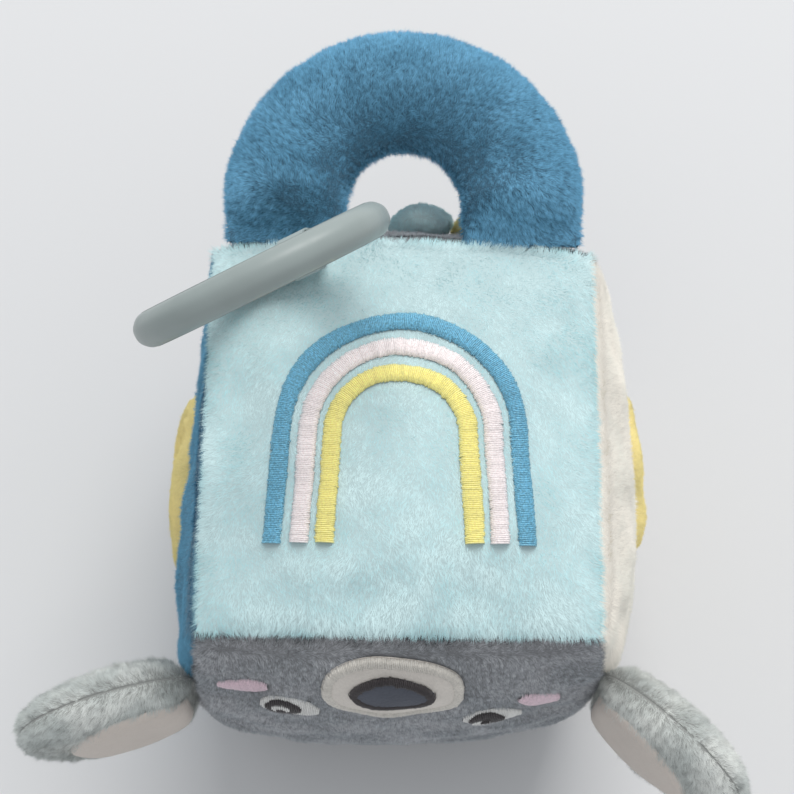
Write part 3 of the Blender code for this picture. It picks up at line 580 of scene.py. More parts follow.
class Sheet:
    """A surface over two shares, s and t, each from 0 to 1."""

    side = 1.0
    moves: Optional[np.ndarray] = None

    def plain(self, s: np.ndarray, t: np.ndarray) -> np.ndarray:
        """The surface before its cloth settles."""
        raise NotImplementedError

    def points(self, s: np.ndarray, t: np.ndarray) -> np.ndarray:
        """The surface with its cloth settled."""
        s, t = np.broadcast_arrays(np.asarray(s, float), np.asarray(t, float))
        made = self.plain(s, t)
        return made if self.moves is None else made + self.settled(s, t)

    def settled(self, s: np.ndarray, t: np.ndarray) -> np.ndarray:
        """The cloth's move at s and t, read smoothly from the simulation's grid.

        The grid is carried on past its edges by odd reflection, so a held edge stays held.
        """
        grid = np.pad(self.moves, ((2, 2), (2, 2), (0, 0)), mode="reflect", reflect_type="odd")
        rows, columns = self.moves.shape[:2]
        a, b = s * (rows - 1), t * (columns - 1)
        low, left = np.floor(a).astype(int), np.floor(b).astype(int)
        total = np.zeros(s.shape + (3,))
        for i in range(-1, 3):
            for j in range(-1, 3):
                row, column = np.clip(low + i, -2, rows + 1), np.clip(left + j, -2, columns + 1)
                weight = spline_weight(a - row) * spline_weight(b - column)
                total += weight[..., None] * grid[row + 2, column + 2]
        return total

    def aim(self, outward: np.ndarray) -> None:
        """Settles which way the normals face, at the middle of the sheet."""
        middle = np.array(0.5)
        self.side = math.copysign(1.0, float(self.frames(middle, middle)[1] @ outward) * self.side)

    def frames(self, s: np.ndarray, t: np.ndarray) -> tuple[np.ndarray, ...]:
        """Points, outward normals, and unit directions along s and t."""
        step = 2e-3
        along = self.points(np.clip(s + step, 0, 1), t) - self.points(np.clip(s - step, 0, 1), t)
        across = self.points(s, np.clip(t + step, 0, 1)) - self.points(s, np.clip(t - step, 0, 1))
        normal = unit(np.cross(along, across)) * self.side
        return self.points(s, t), normal, unit(along), unit(across)

    def lifted(self, s: np.ndarray, t: np.ndarray, lift: object) -> np.ndarray:
        """Points at a height along the normal."""
        point, normal, _, _ = self.frames(s, t)
        return point + normal * np.asarray(lift, float)[..., None]


def upright_seam(side: int, end: int, v: np.ndarray) -> tuple[np.ndarray, np.ndarray]:
    """A point of an upright seam. side is -1 for blue, end is -1 for the face."""
    across, along = SEAM_BOWS[side, end]
    return side * (HALF_WIDTH + across * belly(v)), end * (HALF_DEPTH + along * belly(v))


def handle_seam_bow(u: np.ndarray, share: np.ndarray) -> np.ndarray:
    """How far the upper far seam stands out."""
    return HANDLE_SEAM_BOW * belly(u) * (1 - HANDLE_SEAM_LEAN * u) * share * share


class PanelSheet(Sheet):
    """The outer skin of one panel.

    It rises from its seams as crown * ((1 - u u)(1 - v v)) ** power * (1 - lean u), with u and v
    from -1 to 1 between the seams. The stuffing's lumps ride on that and fade out at the seams.
    """

    def __init__(self, face: Face) -> None:
        """A sheet for one panel."""
        self.face = face
        self.lumps = Waves(LUMP_WIDTH, 20 + list(Face).index(face))
        self.aim(face.outward)

    def plain(self, s: np.ndarray, t: np.ndarray) -> np.ndarray:
        """The panel's skin before its cloth settles."""
        face, u, v = self.face, 2 * s - 1, 2 * t - 1
        swell = np.clip(belly(u) * belly(v), 0, 1) ** CROWN_POWER
        rise = face.crown * swell * (1 - face.lean * u)
        place = np.stack([u * HALF_WIDTH, v * HALF_HEIGHT, 0 * u], -1)
        rise = rise + LUMP_HEIGHT * self.lumps(place) * smooth(3 * belly(u) * belly(v))
        if face is Face.RAINBOW:
            y = v * HALF_DEPTH + handle_seam_bow(u, t)
            return np.stack([u * HALF_WIDTH, y, TOP_SEAM_Z + rise], -1)
        if face is Face.BASE:
            z = np.maximum(BASE_SEAM_RISE - rise, 0.0)
            return np.stack([u * HALF_WIDTH, v * HALF_DEPTH, z], -1)
        z = MIDDLE_Z + v * HALF_HEIGHT
        if face in (Face.FRONT, Face.BACK):
            end = -1 if face is Face.FRONT else 1
            xa, ya = upright_seam(-1, end, v)
            xb, yb = upright_seam(1, end, v)
            y = (1 - s) * ya + s * yb + end * rise
            if face is Face.BACK:
                y = y + handle_seam_bow(u, t)
            return np.stack([(1 - s) * xa + s * xb, y, z], -1)
        side = -1 if face is Face.BLUE else 1
        xa, ya = upright_seam(side, -1, v)
        xb, yb = upright_seam(side, 1, v)
        return np.stack([(1 - s) * xa + s * xb + side * rise, (1 - s) * ya + s * yb, z], -1)

    def shares(self, p: np.ndarray, q: np.ndarray) -> tuple[np.ndarray, np.ndarray]:
        """Finds s and t of a real place on the panel.

        Args:
            p: X, or Y on a side panel.
            q: Z, or Y on the upper and lower panels.

        Returns:
            The two shares.
        """
        face = self.face
        if face in (Face.RAINBOW, Face.BASE):
            u, v = p / HALF_WIDTH, q / HALF_DEPTH
            for _ in range(6 if face is Face.RAINBOW else 0):
                v = (q - handle_seam_bow(u, (1 + v) / 2)) / HALF_DEPTH
            return (u + 1) / 2, (v + 1) / 2
        v = (q - MIDDLE_Z) / HALF_HEIGHT
        if face in (Face.FRONT, Face.BACK):
            end = -1 if face is Face.FRONT else 1
            low, high = upright_seam(-1, end, v)[0], upright_seam(1, end, v)[0]
        else:
            side = -1 if face is Face.BLUE else 1
            low, high = upright_seam(side, -1, v)[1], upright_seam(side, 1, v)[1]
        return (p - low) / (high - low), (v + 1) / 2


class TubeSheet(Sheet):
    """Upper or lower half of the handle.

    s runs from the blue foot to the cream foot, and t from the outer edge of the arch to its
    inner edge.
    """

    def __init__(self, up: int) -> None:
        """up is 1 for the upper half and -1 for the lower."""
        self.up = up
        tilt = math.radians(HANDLE_TILT_DEG)
        self.aim(up * np.array([0, -math.sin(tilt), math.cos(tilt)]))

    def plain(self, s: np.ndarray, t: np.ndarray) -> np.ndarray:
        """The arch's skin: an oval tube that thins to its two sewn feet."""
        run = s * HANDLE_RUN
        turn = np.clip((run - HANDLE_LEG_LENGTH) / HANDLE_ARCH_RADIUS, 0, math.pi)
        from_foot = np.minimum(run, HANDLE_RUN - run)
        x, y = -np.cos(turn), np.sin(turn)
        reach = np.minimum(from_foot, HANDLE_LEG_LENGTH) + HANDLE_ARCH_RADIUS * y
        thin, full = HANDLE_FOOT_DEPTH / 2, HANDLE_TUBE_DEPTH / 2
        deep = thin + (full - thin) * smooth(from_foot / HANDLE_SWELL_LENGTH)
        out = HANDLE_TUBE_WIDTH / 2 * np.cos(math.pi * t)
        up = self.up * deep * np.sin(math.pi * t)
        reach = reach + y * out
        tilt = math.radians(HANDLE_TILT_DEG)
        return np.stack([
            x * (HANDLE_ARCH_RADIUS + out),
            HANDLE_HINGE[1] + reach * math.cos(tilt) - up * math.sin(tilt),
            HANDLE_HINGE[2] + reach * math.sin(tilt) + up * math.cos(tilt),
        ], -1)


class EarSheet(Sheet):
    """One cover of an ear. s runs from the seam to the tip, and t up."""

    def __init__(self, side: int, turn_deg: float, cover: int) -> None:
        """Places one cover.

        Args:
            side: -1 for the blue side, 1 for the cream side.
            turn_deg: Direction of the ear from the seam, in degrees from +X.
            cover: 1 for the back cover, -1 for the front one.
        """
        v = (EAR_CENTRE_Z - MIDDLE_Z) / HALF_HEIGHT
        x, y = upright_seam(side, -1, v)
        turn = math.radians(turn_deg)
        self.pivot = np.array([x, y, EAR_CENTRE_Z])
        self.out = np.array([math.cos(turn), math.sin(turn), 0.0])
        back = np.array([math.sin(turn), -math.cos(turn), 0.0])
        self.back = back * math.copysign(1.0, back[1])
        self.cover = cover
        self.middle, self.radius, self.start = EAR_REACH, EAR_RADIUS, EAR_ROOT_GAP
        self.aim(cover * self.back)

    def shares(self, reach: np.ndarray, high: np.ndarray) -> tuple[np.ndarray, np.ndarray]:
        """The shares of a reach and height in the ear's plane."""
        first = math.acos((self.middle - self.start) / self.radius)
        angle = np.arccos(np.clip((self.middle - reach) / self.radius, -1, 1))
        s = (angle - first) / (math.radians(EAR_TIP_ANGLE_DEG) - first)
        return np.clip(s, 0, 1), (high / np.maximum(self.radius * np.sin(angle), 1e-6) + 1) / 2

    def disc(self, s: np.ndarray, t: np.ndarray) -> tuple[np.ndarray, np.ndarray]:
        """Reach and height in the ear's plane: chords of a disc cut straight at the seam."""
        first = math.acos((self.middle - self.start) / self.radius)
        angle = first + (math.radians(EAR_TIP_ANGLE_DEG) - first) * s
        return self.middle - self.radius * np.cos(angle), self.radius * np.sin(angle) * (2 * t - 1)

    def depth(self, reach: np.ndarray, high: np.ndarray) -> np.ndarray:
        """Half thickness of the ear: a full dome, (1 - r r) ** 0.4, that thins to the sewn root."""
        dome = np.clip(1 - ((reach - EAR_REACH) ** 2 + high**2) / EAR_RADIUS**2, 0, 1) ** 0.4
        swell = np.sin(math.pi / 2 * np.clip((reach - EAR_ROOT_GAP) / EAR_ROOT_LENGTH, 0, 1))
        return EAR_HALF_DEPTH * dome * swell

    def plain(self, s: np.ndarray, t: np.ndarray) -> np.ndarray:
        """The cover's skin: the disc with its depth."""
        reach, high = self.disc(s, t)
        deep = self.cover * self.depth(reach, high)
        flat = self.pivot + reach[..., None] * self.out + high[..., None] * np.array([0, 0, 1.0])
        return flat + deep[..., None] * self.back

    def in_plane(self, points: np.ndarray) -> tuple[np.ndarray, np.ndarray, np.ndarray]:
        """Reach, height and depth of points, measured from the ear's seam."""
        offset = points - self.pivot
        return offset @ self.out, offset[..., 2], offset @ self.back


class EarPatchSheet(EarSheet):
    """The smooth patch on an ear's front cover, rolled down at its rim."""

    def __init__(self, cover: EarSheet) -> None:
        """A patch on a front cover."""
        self.under = cover
        self.middle, self.radius, self.start = EAR_PATCH_REACH, EAR_PATCH_RADIUS, EAR_PATCH_START
        self.aim(-cover.back)

    def plain(self, s: np.ndarray, t: np.ndarray) -> np.ndarray:
        """The patch's outer face, lifted from the ear's cover."""
        reach, high = self.disc(s, t)
        rim = np.minimum(self.radius - np.hypot(reach - self.middle, high), reach - self.start)
        lift = EAR_PATCH_LIFT * (0.12 + 0.88 * np.clip(rim / (2.2 * MM), 0, 1) ** 0.5)
        return self.under.lifted(*self.under.shares(reach, high), lift)


Outline = Callable[[np.ndarray], np.ndarray]


def oval(
    half_width: float, half_height: float, roll_deg: float = 0.0, power: float = 2.0
) -> Outline:
    """A rounded oval, as offsets by angle; a power over 2 squares it off."""
    roll = math.radians(roll_deg)

    def outline(turn: np.ndarray) -> np.ndarray:
        """The offsets at angles."""
        x = half_width * np.sign(np.cos(turn)) * np.abs(np.cos(turn)) ** (2 / power)
        y = half_height * np.sign(np.sin(turn)) * np.abs(np.sin(turn)) ** (2 / power)
        turned = x * math.cos(roll) - y * math.sin(roll), x * math.sin(roll) + y * math.cos(roll)
        return np.stack(turned, -1)

    return outline


def polar(radius: Callable[[np.ndarray], np.ndarray]) -> Outline:
    """An outline from a radius by angle."""
    return lambda turn: radius(turn)[..., None] * np.stack([np.cos(turn), np.sin(turn)], -1)


@dataclass
class Motif:
    """A sewn shape's place and outline on a panel."""

    panel: PanelSheet
    centre: tuple[float, float]
    outline: Outline

    def covers(self, points: np.ndarray, margin: float = 0.0) -> np.ndarray:
        """Whether points of the panel lie under the shape."""
        edge = self.outline(np.linspace(0, 2 * math.pi, 361)[:-1])
        offset = points[:, self.panel.face.axes] - np.array(self.centre)
        angles = np.arctan2(edge[:, 1], edge[:, 0])
        order = np.argsort(angles)
        wanted = np.arctan2(offset[:, 1], offset[:, 0])
        radius = np.linalg.norm(edge, axis=1)
        reach = np.interp(wanted, angles[order], radius[order], period=2 * math.pi)
        return np.linalg.norm(offset, axis=1) < reach + margin


class PatchSheet(Sheet):
    """A sewn shape on a panel: s runs round its edge and t from its edge to its middle."""

    def __init__(self, motif: Motif, low: float, height: float, dome: float) -> None:
        """low and height are above the panel; dome is the arched share."""
        self.motif, self.low, self.height, self.dome = motif, low, height, dome
        self.aim(motif.panel.face.outward)

    def plain(self, s: np.ndarray, t: np.ndarray) -> np.ndarray:
        """The shape's skin: a steep wall and an arch."""
        motif = self.motif
        place = np.array(motif.centre) + motif.outline(2 * math.pi * s) * (1 - t)[..., None]
        wall = smooth(t * 9)
        arch = np.sqrt(np.clip(1 - (1 - t) ** 2, 0, 1))
        lift = self.low + self.height * ((1 - self.dome) * wall + self.dome * arch)
        return motif.panel.lifted(*motif.panel.shares(place[..., 0], place[..., 1]), lift)


class PuffSheet(Sheet):
    """A padded petal: s runs round it, t from the middle of its outer face to the inner one."""

    def __init__(self, motif: Motif, low: float, depth: float) -> None:
        """low and depth are the inner face's height and the thickness."""
        self.motif, self.low, self.depth = motif, low, depth
        probe = np.array(0.25)
        facing = self.frames(probe, probe)[1] @ motif.panel.face.outward
        self.side = math.copysign(1.0, float(facing))

    def plain(self, s: np.ndarray, t: np.ndarray) -> np.ndarray:
        """The petal's skin, an oval section all round."""
        motif = self.motif
        ring = np.sin(math.pi * np.clip(t, 0, 1)) ** 0.9
        place = np.array(motif.centre) + motif.outline(2 * math.pi * s) * ring[..., None]
        lift = self.low + self.depth / 2 * (1 + np.cos(math.pi * t))
        return motif.panel.lifted(*motif.panel.shares(place[..., 0], place[..., 1]), lift)


# Meshes


def quads(rows: int, columns: int, wrap: bool = False) -> np.ndarray:
    """Corner indices of a grid's quads, which face against s x t."""
    i = np.arange(rows - 1)[:, None]
    j = np.arange(columns if wrap else columns - 1)[None, :]
    k = (j + 1) % columns
    corners = [i * columns + j, i * columns + k, (i + 1) * columns + k, (i + 1) * columns + j]
    return np.stack(np.broadcast_arrays(*corners), -1).reshape(-1, 4)


def new_object(
    name: str, vertices: np.ndarray, faces: np.ndarray, finish: Finish
) -> bpy.types.Object:
    """A mesh object at the origin.

    Args:
        name: Object name.
        vertices: Points in metres.
        faces: Corner indices; every face has as many corners.
        finish: Its finish.

    Returns:
        The new object, shaded smooth.
    """
    mesh = bpy.data.meshes.new(name)
    count, size = faces.shape
    mesh.vertices.add(len(vertices))
    mesh.vertices.foreach_set("co", np.ascontiguousarray(vertices, np.float32).ravel())
    mesh.loops.add(count * size)
    mesh.loops.foreach_set("vertex_index", np.ascontiguousarray(faces, np.int32).ravel())
    mesh.polygons.add(count)
    mesh.polygons.foreach_set("loop_start", np.arange(count, dtype=np.int32) * size)
    mesh.update(calc_edges=True)
    mesh.shade_smooth()
    mesh.materials.append(finish.material())
    made = bpy.data.objects.new(name, mesh)
    bpy.context.scene.collection.objects.link(made)
    return made


def store(mesh: bpy.types.Mesh, name: str, values: np.ndarray) -> None:
    """A number on every vertex."""
    layer = mesh.attributes.new(name, "FLOAT", "POINT")
    layer.data.foreach_set("value", np.ascontiguousarray(values, np.float32).ravel())


def face_outwards(made: bpy.types.Object) -> bpy.types.Object:
    """Turns a closed piece's faces outwards."""
    work = bmesh.new()
    work.from_mesh(made.data)
    bmesh.ops.recalc_face_normals(work, faces=work.faces)
    if work.calc_volume(signed=True) < 0:
        bmesh.ops.reverse_faces(work, faces=work.faces)
    work.to_mesh(made.data)
    work.free()
    return made


def cloth_shell(name: str, sheet: Sheet, rows: int, columns: int, finish: Finish,
                sink: float = 0.25 * MM, thickness: float = CLOTH_THICKNESS) -> bpy.types.Object:
    """Cloth of a real thickness under a sheet, closed round its edges.

    Args:
        name: Object name.
        sheet: What the cloth follows.
        rows: Points along s.
        columns: Points along t.
        finish: Its finish.
        sink: How far its outer face lies below the sheet, where the pile is rooted.
        thickness: Cloth thickness.

    Returns:
        The new object.
    """
    s, t = np.meshgrid(eased(rows), eased(columns), indexing="ij")
    point, normal, _, _ = sheet.frames(s, t)
    outer, inner = point - normal * sink, point - normal * (sink + thickness)
    count = rows * columns
    flat = quads(rows, columns)
    index = np.arange(count).reshape(rows, columns)
    rim = np.concatenate([index[0], index[1:, -1], index[-1, -2::-1], index[-2:0:-1, 0]])
    after = np.roll(rim, -1)
    side = np.stack([rim, rim + count, after + count, after], -1)
    faces = np.concatenate([flat, flat[:, ::-1] + count, side])
    vertices = np.concatenate([outer.reshape(-1, 3), inner.reshape(-1, 3)])
    return face_outwards(new_object(name, vertices, faces, finish))


def round_piece(name: str, sheet: Sheet, around: int, t: np.ndarray, finish: Finish,
                sink: float = 0.0) -> bpy.types.Object:
    """A sheet whose s runs all the way round, closed to a point at its last t."""
    s = np.arange(around) / around
    tt, ss = np.meshgrid(t[:-1], s, indexing="ij")
    rings = len(t) - 1
    points = sheet.lifted(ss, tt, np.full(ss.shape, -sink)).reshape(-1, 3)
    pole = points[-around:].mean(axis=0, keepdims=True)
    flat = quads(rings, around, wrap=True)
    last = (rings - 1) * around
    spokes = np.arange(around)
    cap = np.stack([last + spokes, last + (spokes + 1) % around, np.full(around, len(points))], -1)
    faces = np.concatenate([flat[:, [0, 1, 2]], flat[:, [0, 2, 3]], cap])
    made = new_object(name, np.concatenate([points, pole]), faces, finish)
    normals = np.zeros(len(made.data.polygons) * 3, np.float32)
    made.data.polygons.foreach_get("normal", normals)
    outward = sheet.frames(ss, tt)[1][:-1].reshape(-1, 3)
    if float((normals.reshape(-1, 3)[: len(outward)] * outward).sum()) < 0:
        made.data.flip_normals()
    return made


# Cloth


@dataclass
class ClothRelaxer:
    """Lets stuffed skins settle under pressure with their seams held.

    The cloth is a little too large for its seams, so it wrinkles beside them. How far a point
    may move is capped, which keeps the form that the CAD gave it. Where level is set, the mean
    swelling of each sheet is taken off again, by its mean * (1 - u u)(1 - v v), so only the
    wrinkles and the sag stay.
    """

    pressure: float = 4.0
    growth: float = 0.025
    frames: int = 20
    cap: float = 1.5 * MM
    mass: float = 0.004
    level: bool = False

    def run(self, points: np.ndarray, faces: np.ndarray, held: np.ndarray) -> np.ndarray:
        """Simulates one closed skin.

        Args:
            points: Its points.
            faces: Its quads, facing outwards.
            held: Whether each point is held by a seam.

        Returns:
            The move of each point.
        """
        mesh = bpy.data.meshes.new("settling")
        mesh.from_pydata(points.tolist(), [], faces.tolist())
        work = bpy.data.objects.new("settling", mesh)
        scene = bpy.context.scene
        scene.collection.objects.link(work)
        work.vertex_groups.new(name="seams").add(np.flatnonzero(held).tolist(), 1.0, "REPLACE")
        cloth = work.modifiers.new("cloth", "CLOTH")
        settings = cloth.settings
        settings.vertex_group_mass = "seams"
        settings.quality = 8
        settings.mass = self.mass
        settings.tension_stiffness = settings.compression_stiffness = 8.0
        settings.shear_stiffness = 4.0
        settings.bending_stiffness = 0.05
        settings.shrink_min = -self.growth
        settings.use_pressure = True
        settings.uniform_pressure_force = self.pressure
        settings.effector_weights.gravity = 0.0
        cloth.collision_settings.use_collision = False
        cloth.point_cache.frame_start, cloth.point_cache.frame_end = 1, self.frames
        for step in range(1, self.frames + 1):
            scene.frame_set(step)
        settled = work.evaluated_get(bpy.context.evaluated_depsgraph_get())
        result = np.zeros(len(points) * 3, np.float32)
        settled.data.vertices.foreach_get("co", result)
        bpy.data.objects.remove(work, do_unlink=True)
        bpy.data.meshes.remove(mesh)
        scene.frame_set(1)
        moved = result.reshape(-1, 3) - points
        farthest = np.linalg.norm(moved, axis=1).max() / MM
        LOG.info("cloth of %d points: moves up to %.2f mm before the cap", len(points), farthest)
        return moved

    def settle(self, sheets: Sequence[Sheet], rows: int, columns: int,
               hold: Callable[[np.ndarray, np.ndarray, np.ndarray], np.ndarray]) -> None:
        """Relaxes sheets that share edges as one welded skin, and gives each its own moves."""
        s, t = np.meshgrid(np.linspace(0, 1, rows), np.linspace(0, 1, columns), indexing="ij")
        grids = [sheet.points(s, t).reshape(-1, 3) for sheet in sheets]
        stacked = np.concatenate(grids)
        keys = np.round(stacked / (0.02 * MM)).astype(int)
        _, first, inverse = np.unique(keys, axis=0, return_index=True, return_inverse=True)
        inverse = inverse.ravel()
        flat, faces = quads(rows, columns), []
        for number, sheet in enumerate(sheets):
            turned = flat[:, ::-1] if sheet.side > 0 else flat
            faces.append(inverse[turned + number * rows * columns])
        held = np.zeros(len(first), bool)
        own = np.concatenate([hold(s.ravel(), t.ravel(), grid) for grid in grids])
        np.logical_or.at(held, inverse, own)
        whole = np.concatenate(faces)
        ordered = np.sort(whole, axis=1)
        whole = whole[(ordered[:, 1:] != ordered[:, :-1]).all(axis=1)]
        moves = self.run(stacked[first], whole, held)[inverse].reshape(
            len(sheets), rows, columns, 3)
        rise = belly(2 * s - 1) * belly(2 * t - 1)
        for number, sheet in enumerate(sheets):
            normal = sheet.frames(s, t)[1]
            swell = (moves[number] * normal).sum(-1).mean() / rise.mean() if self.level else 0.0
            moved = moves[number] - normal * (swell * rise)[..., None]
            size = np.linalg.norm(moved, axis=-1, keepdims=True)
            sheet.moves = moved * np.minimum(1, self.cap / np.maximum(size, 1e-9))


# Pile


@dataclass
class Pile:
    """Fibres that stand on a sheet.

    Each fibre is a blade: one triangle, or two back to back where it is seen from all round. It
    leans from the normal towards the nap, or towards a direction in space. The nap turns slowly
    across the cloth, and neighbouring fibres share small turns, which gathers them into tufts.
    Near the edges it fans outwards over the seams, by fan * u ** power with u from -1 to 1, or it
    parts away from them where fan is below zero.
    """

    sheet: Sheet
    finish: Finish
    length: float
    count: int
    width: float = 0.13 * MM
    lean_deg: float = 50.0
    nap: tuple[float, float] = (0.0, -1.0)
    toward: Optional[tuple[float, float, float]] = None
    swirl_deg: float = 26.0
    tuft_deg: float = 20.0
    tuft: float = 2.4 * MM
    fan: tuple[float, float] = (0.0, 0.0)
    fan_power: int = 9
    both_sides: bool = False
    seed: int = 1
    keep: Optional[Callable[[np.ndarray], np.ndarray]] = None
    scale: Optional[Callable[[np.ndarray, np.ndarray, np.ndarray], np.ndarray]] = None
    # How far the fibres are darkened along the seams: painted shade, as the pile casts no shadow
    painted_seam_shade: float = 0.0
    cells: int = 32

    def roots(self, rng: np.random.Generator) -> tuple[np.ndarray, np.ndarray]:
        """Shares of the roots, spread evenly by area."""
        edge = eased(81)
        steps = len(edge) - 1
        grid = self.sheet.points(*np.meshgrid(edge, edge, indexing="ij"))
        along, across = grid[1:, :-1] - grid[:-1, :-1], grid[:-1, 1:] - grid[:-1, :-1]
        total = np.cumsum(np.linalg.norm(np.cross(along, across), axis=-1).ravel())
        draw = (np.arange(self.count) + rng.random(self.count)) / self.count * total[-1]
        cell = np.minimum(np.searchsorted(total, draw), steps * steps - 1)
        row, column = cell // steps, cell % steps
        width = np.diff(edge)
        s = edge[row] + width[row] * rng.random(self.count)
        return s, edge[column] + width[column] * rng.random(self.count)

    def grow(self, name: str) -> bpy.types.Object:
        """Makes the fibres.

        Args:
            name: Object name.

        Returns:
            One object with every fibre, its tip and tone numbers and its own bake map.
        """
        rng = np.random.default_rng(self.seed)
        s, t = self.roots(rng)
        if self.keep is not None:
            chosen = self.keep(self.sheet.points(s, t))
            s, t = s[chosen], t[chosen]
        point, normal, _, across = self.sheet.frames(s, t)
        count = len(s)
        across = unit(across - normal * (across * normal).sum(-1, keepdims=True))
        along = np.cross(across, normal) * self.sheet.side
        u, v = 2 * s - 1, 2 * t - 1
        edge = u**self.fan_power * self.fan[0], v**self.fan_power * self.fan[1]
        lay = self.nap
        if self.toward is not None:
            lay = along @ np.array(self.toward), across @ np.array(self.toward)
        turn = np.arctan2(lay[1] + edge[1], lay[0] + edge[0]) + np.radians(
            self.swirl_deg * Waves(26 * MM, self.seed + 50)(point)
            + self.tuft_deg * Waves(self.tuft, self.seed + 55, 24)(point)
            + 13.0 * rng.normal(size=count)
        )
        nap = np.cos(turn)[:, None] * along + np.sin(turn)[:, None] * across
        lean = np.radians(self.lean_deg + 9.0 * Waves(11 * MM, self.seed + 60)(point)
                          + 8.0 * Waves(self.tuft, self.seed + 61, 24)(point)
                          + 8.0 * rng.normal(size=count))
        lean = np.clip(lean, 0.1, 1.42)
        tuft = Waves(self.tuft * 0.8, self.seed + 70, 24)(point)
        length = self.length * (1 + 0.13 * rng.normal(size=count) + 0.16 * tuft)
        if self.scale is not None:
            length = length * self.scale(s, t, point)
        length = np.clip(length, 0.1 * self.length, 2.0 * self.length)[:, None]
        direction = np.cos(lean)[:, None] * normal + np.sin(lean)[:, None] * nap
        flank = unit(np.cross(nap, normal)) * (self.width / 2)
        root = point - normal * (0.3 * MM)
        blade = unit(np.cross(flank, direction))
        soft = unit(0.55 * normal + 0.45 * blade + 0.12 * rng.normal(size=(count, 3)))
        corners = [root - flank, root + flank, root + direction * length]
        heights = np.array([0.0, 0.0, 1.0])
        pattern = np.array([[0, 1, 2]])
        normals = [soft] * 3
        if self.both_sides:
            apart = blade * (self.width * 0.4)
            corners += [corner - apart for corner in corners[:2]] + corners[2:]
            heights = np.tile(heights, 2)
            pattern = np.array([[0, 1, 2], [4, 3, 5]])
            # The underside faces along the blade, outwards, so that it catches light too
            under = unit(soft - 1.05 * (soft * blade).sum(-1, keepdims=True) * blade)
            normals = normals + [under] * 3
        size = len(corners)
        vertices = np.stack(corners, 1).reshape(-1, 3)
        lowest = np.repeat(0.04 * MM + 0.2 * MM * rng.random(count), size)
        vertices[:, 2] = np.maximum(vertices[:, 2], lowest)
        faces = (np.arange(count)[:, None, None] * size + pattern[None]).reshape(-1, 3)
        made = new_object(name, vertices, faces, self.finish)
        tone = 0.6 * rng.random(count) + 0.4 * smooth((tuft + 1.5) / 3)
        # Painted shade: fibres within about 1 % of the sheet's edges are darkened towards the seams
        inset = np.minimum(np.minimum(s, 1 - s), np.minimum(t, 1 - t)) / 0.012
        tone = tone - self.painted_seam_shade * (1 - smooth(inset))
        store(made.data, "tip", np.tile(heights, count))
        store(made.data, "tone", np.repeat(tone, size))
        self.store_map(made.data, s, t, heights)
        made.data.normals_split_custom_set_from_vertices(np.stack(normals, 1).reshape(-1, 3))
        # Light passes through a real pile, and these blades are broader than its fibres
        made.visible_shadow = made.visible_diffuse = False
        LOG.info("%s: %d fibres, %d triangles", name, count, len(faces))
        return made

    def store_map(
        self, mesh: bpy.types.Mesh, s: np.ndarray, t: np.ndarray, heights: np.ndarray
    ) -> None:
        """The map for baking: a cell for each patch of cloth, with root to tip up the cell."""
        n = self.cells
        column = np.minimum((s * n).astype(int), n - 1)
        row = np.minimum((t * n).astype(int), n - 1)
        across = 0.12 + 0.76 * (s * n - column)
        shift = np.tile([-0.03, 0.03, 0.0], len(heights) // 3)
        x = ((column + across)[:, None] + shift) / n
        y = (row[:, None] + 0.12 + 0.76 * heights) / n
        uv = np.stack([x, y], -1).reshape(-1, 2)
        corners = np.zeros(len(mesh.loops), np.int32)
        mesh.loops.foreach_get("vertex_index", corners)
        layer = mesh.uv_layers.new(name="OFBake")
        layer.data.foreach_set("uv", np.ascontiguousarray(uv[corners], np.float32).ravel())


# Satin stitches


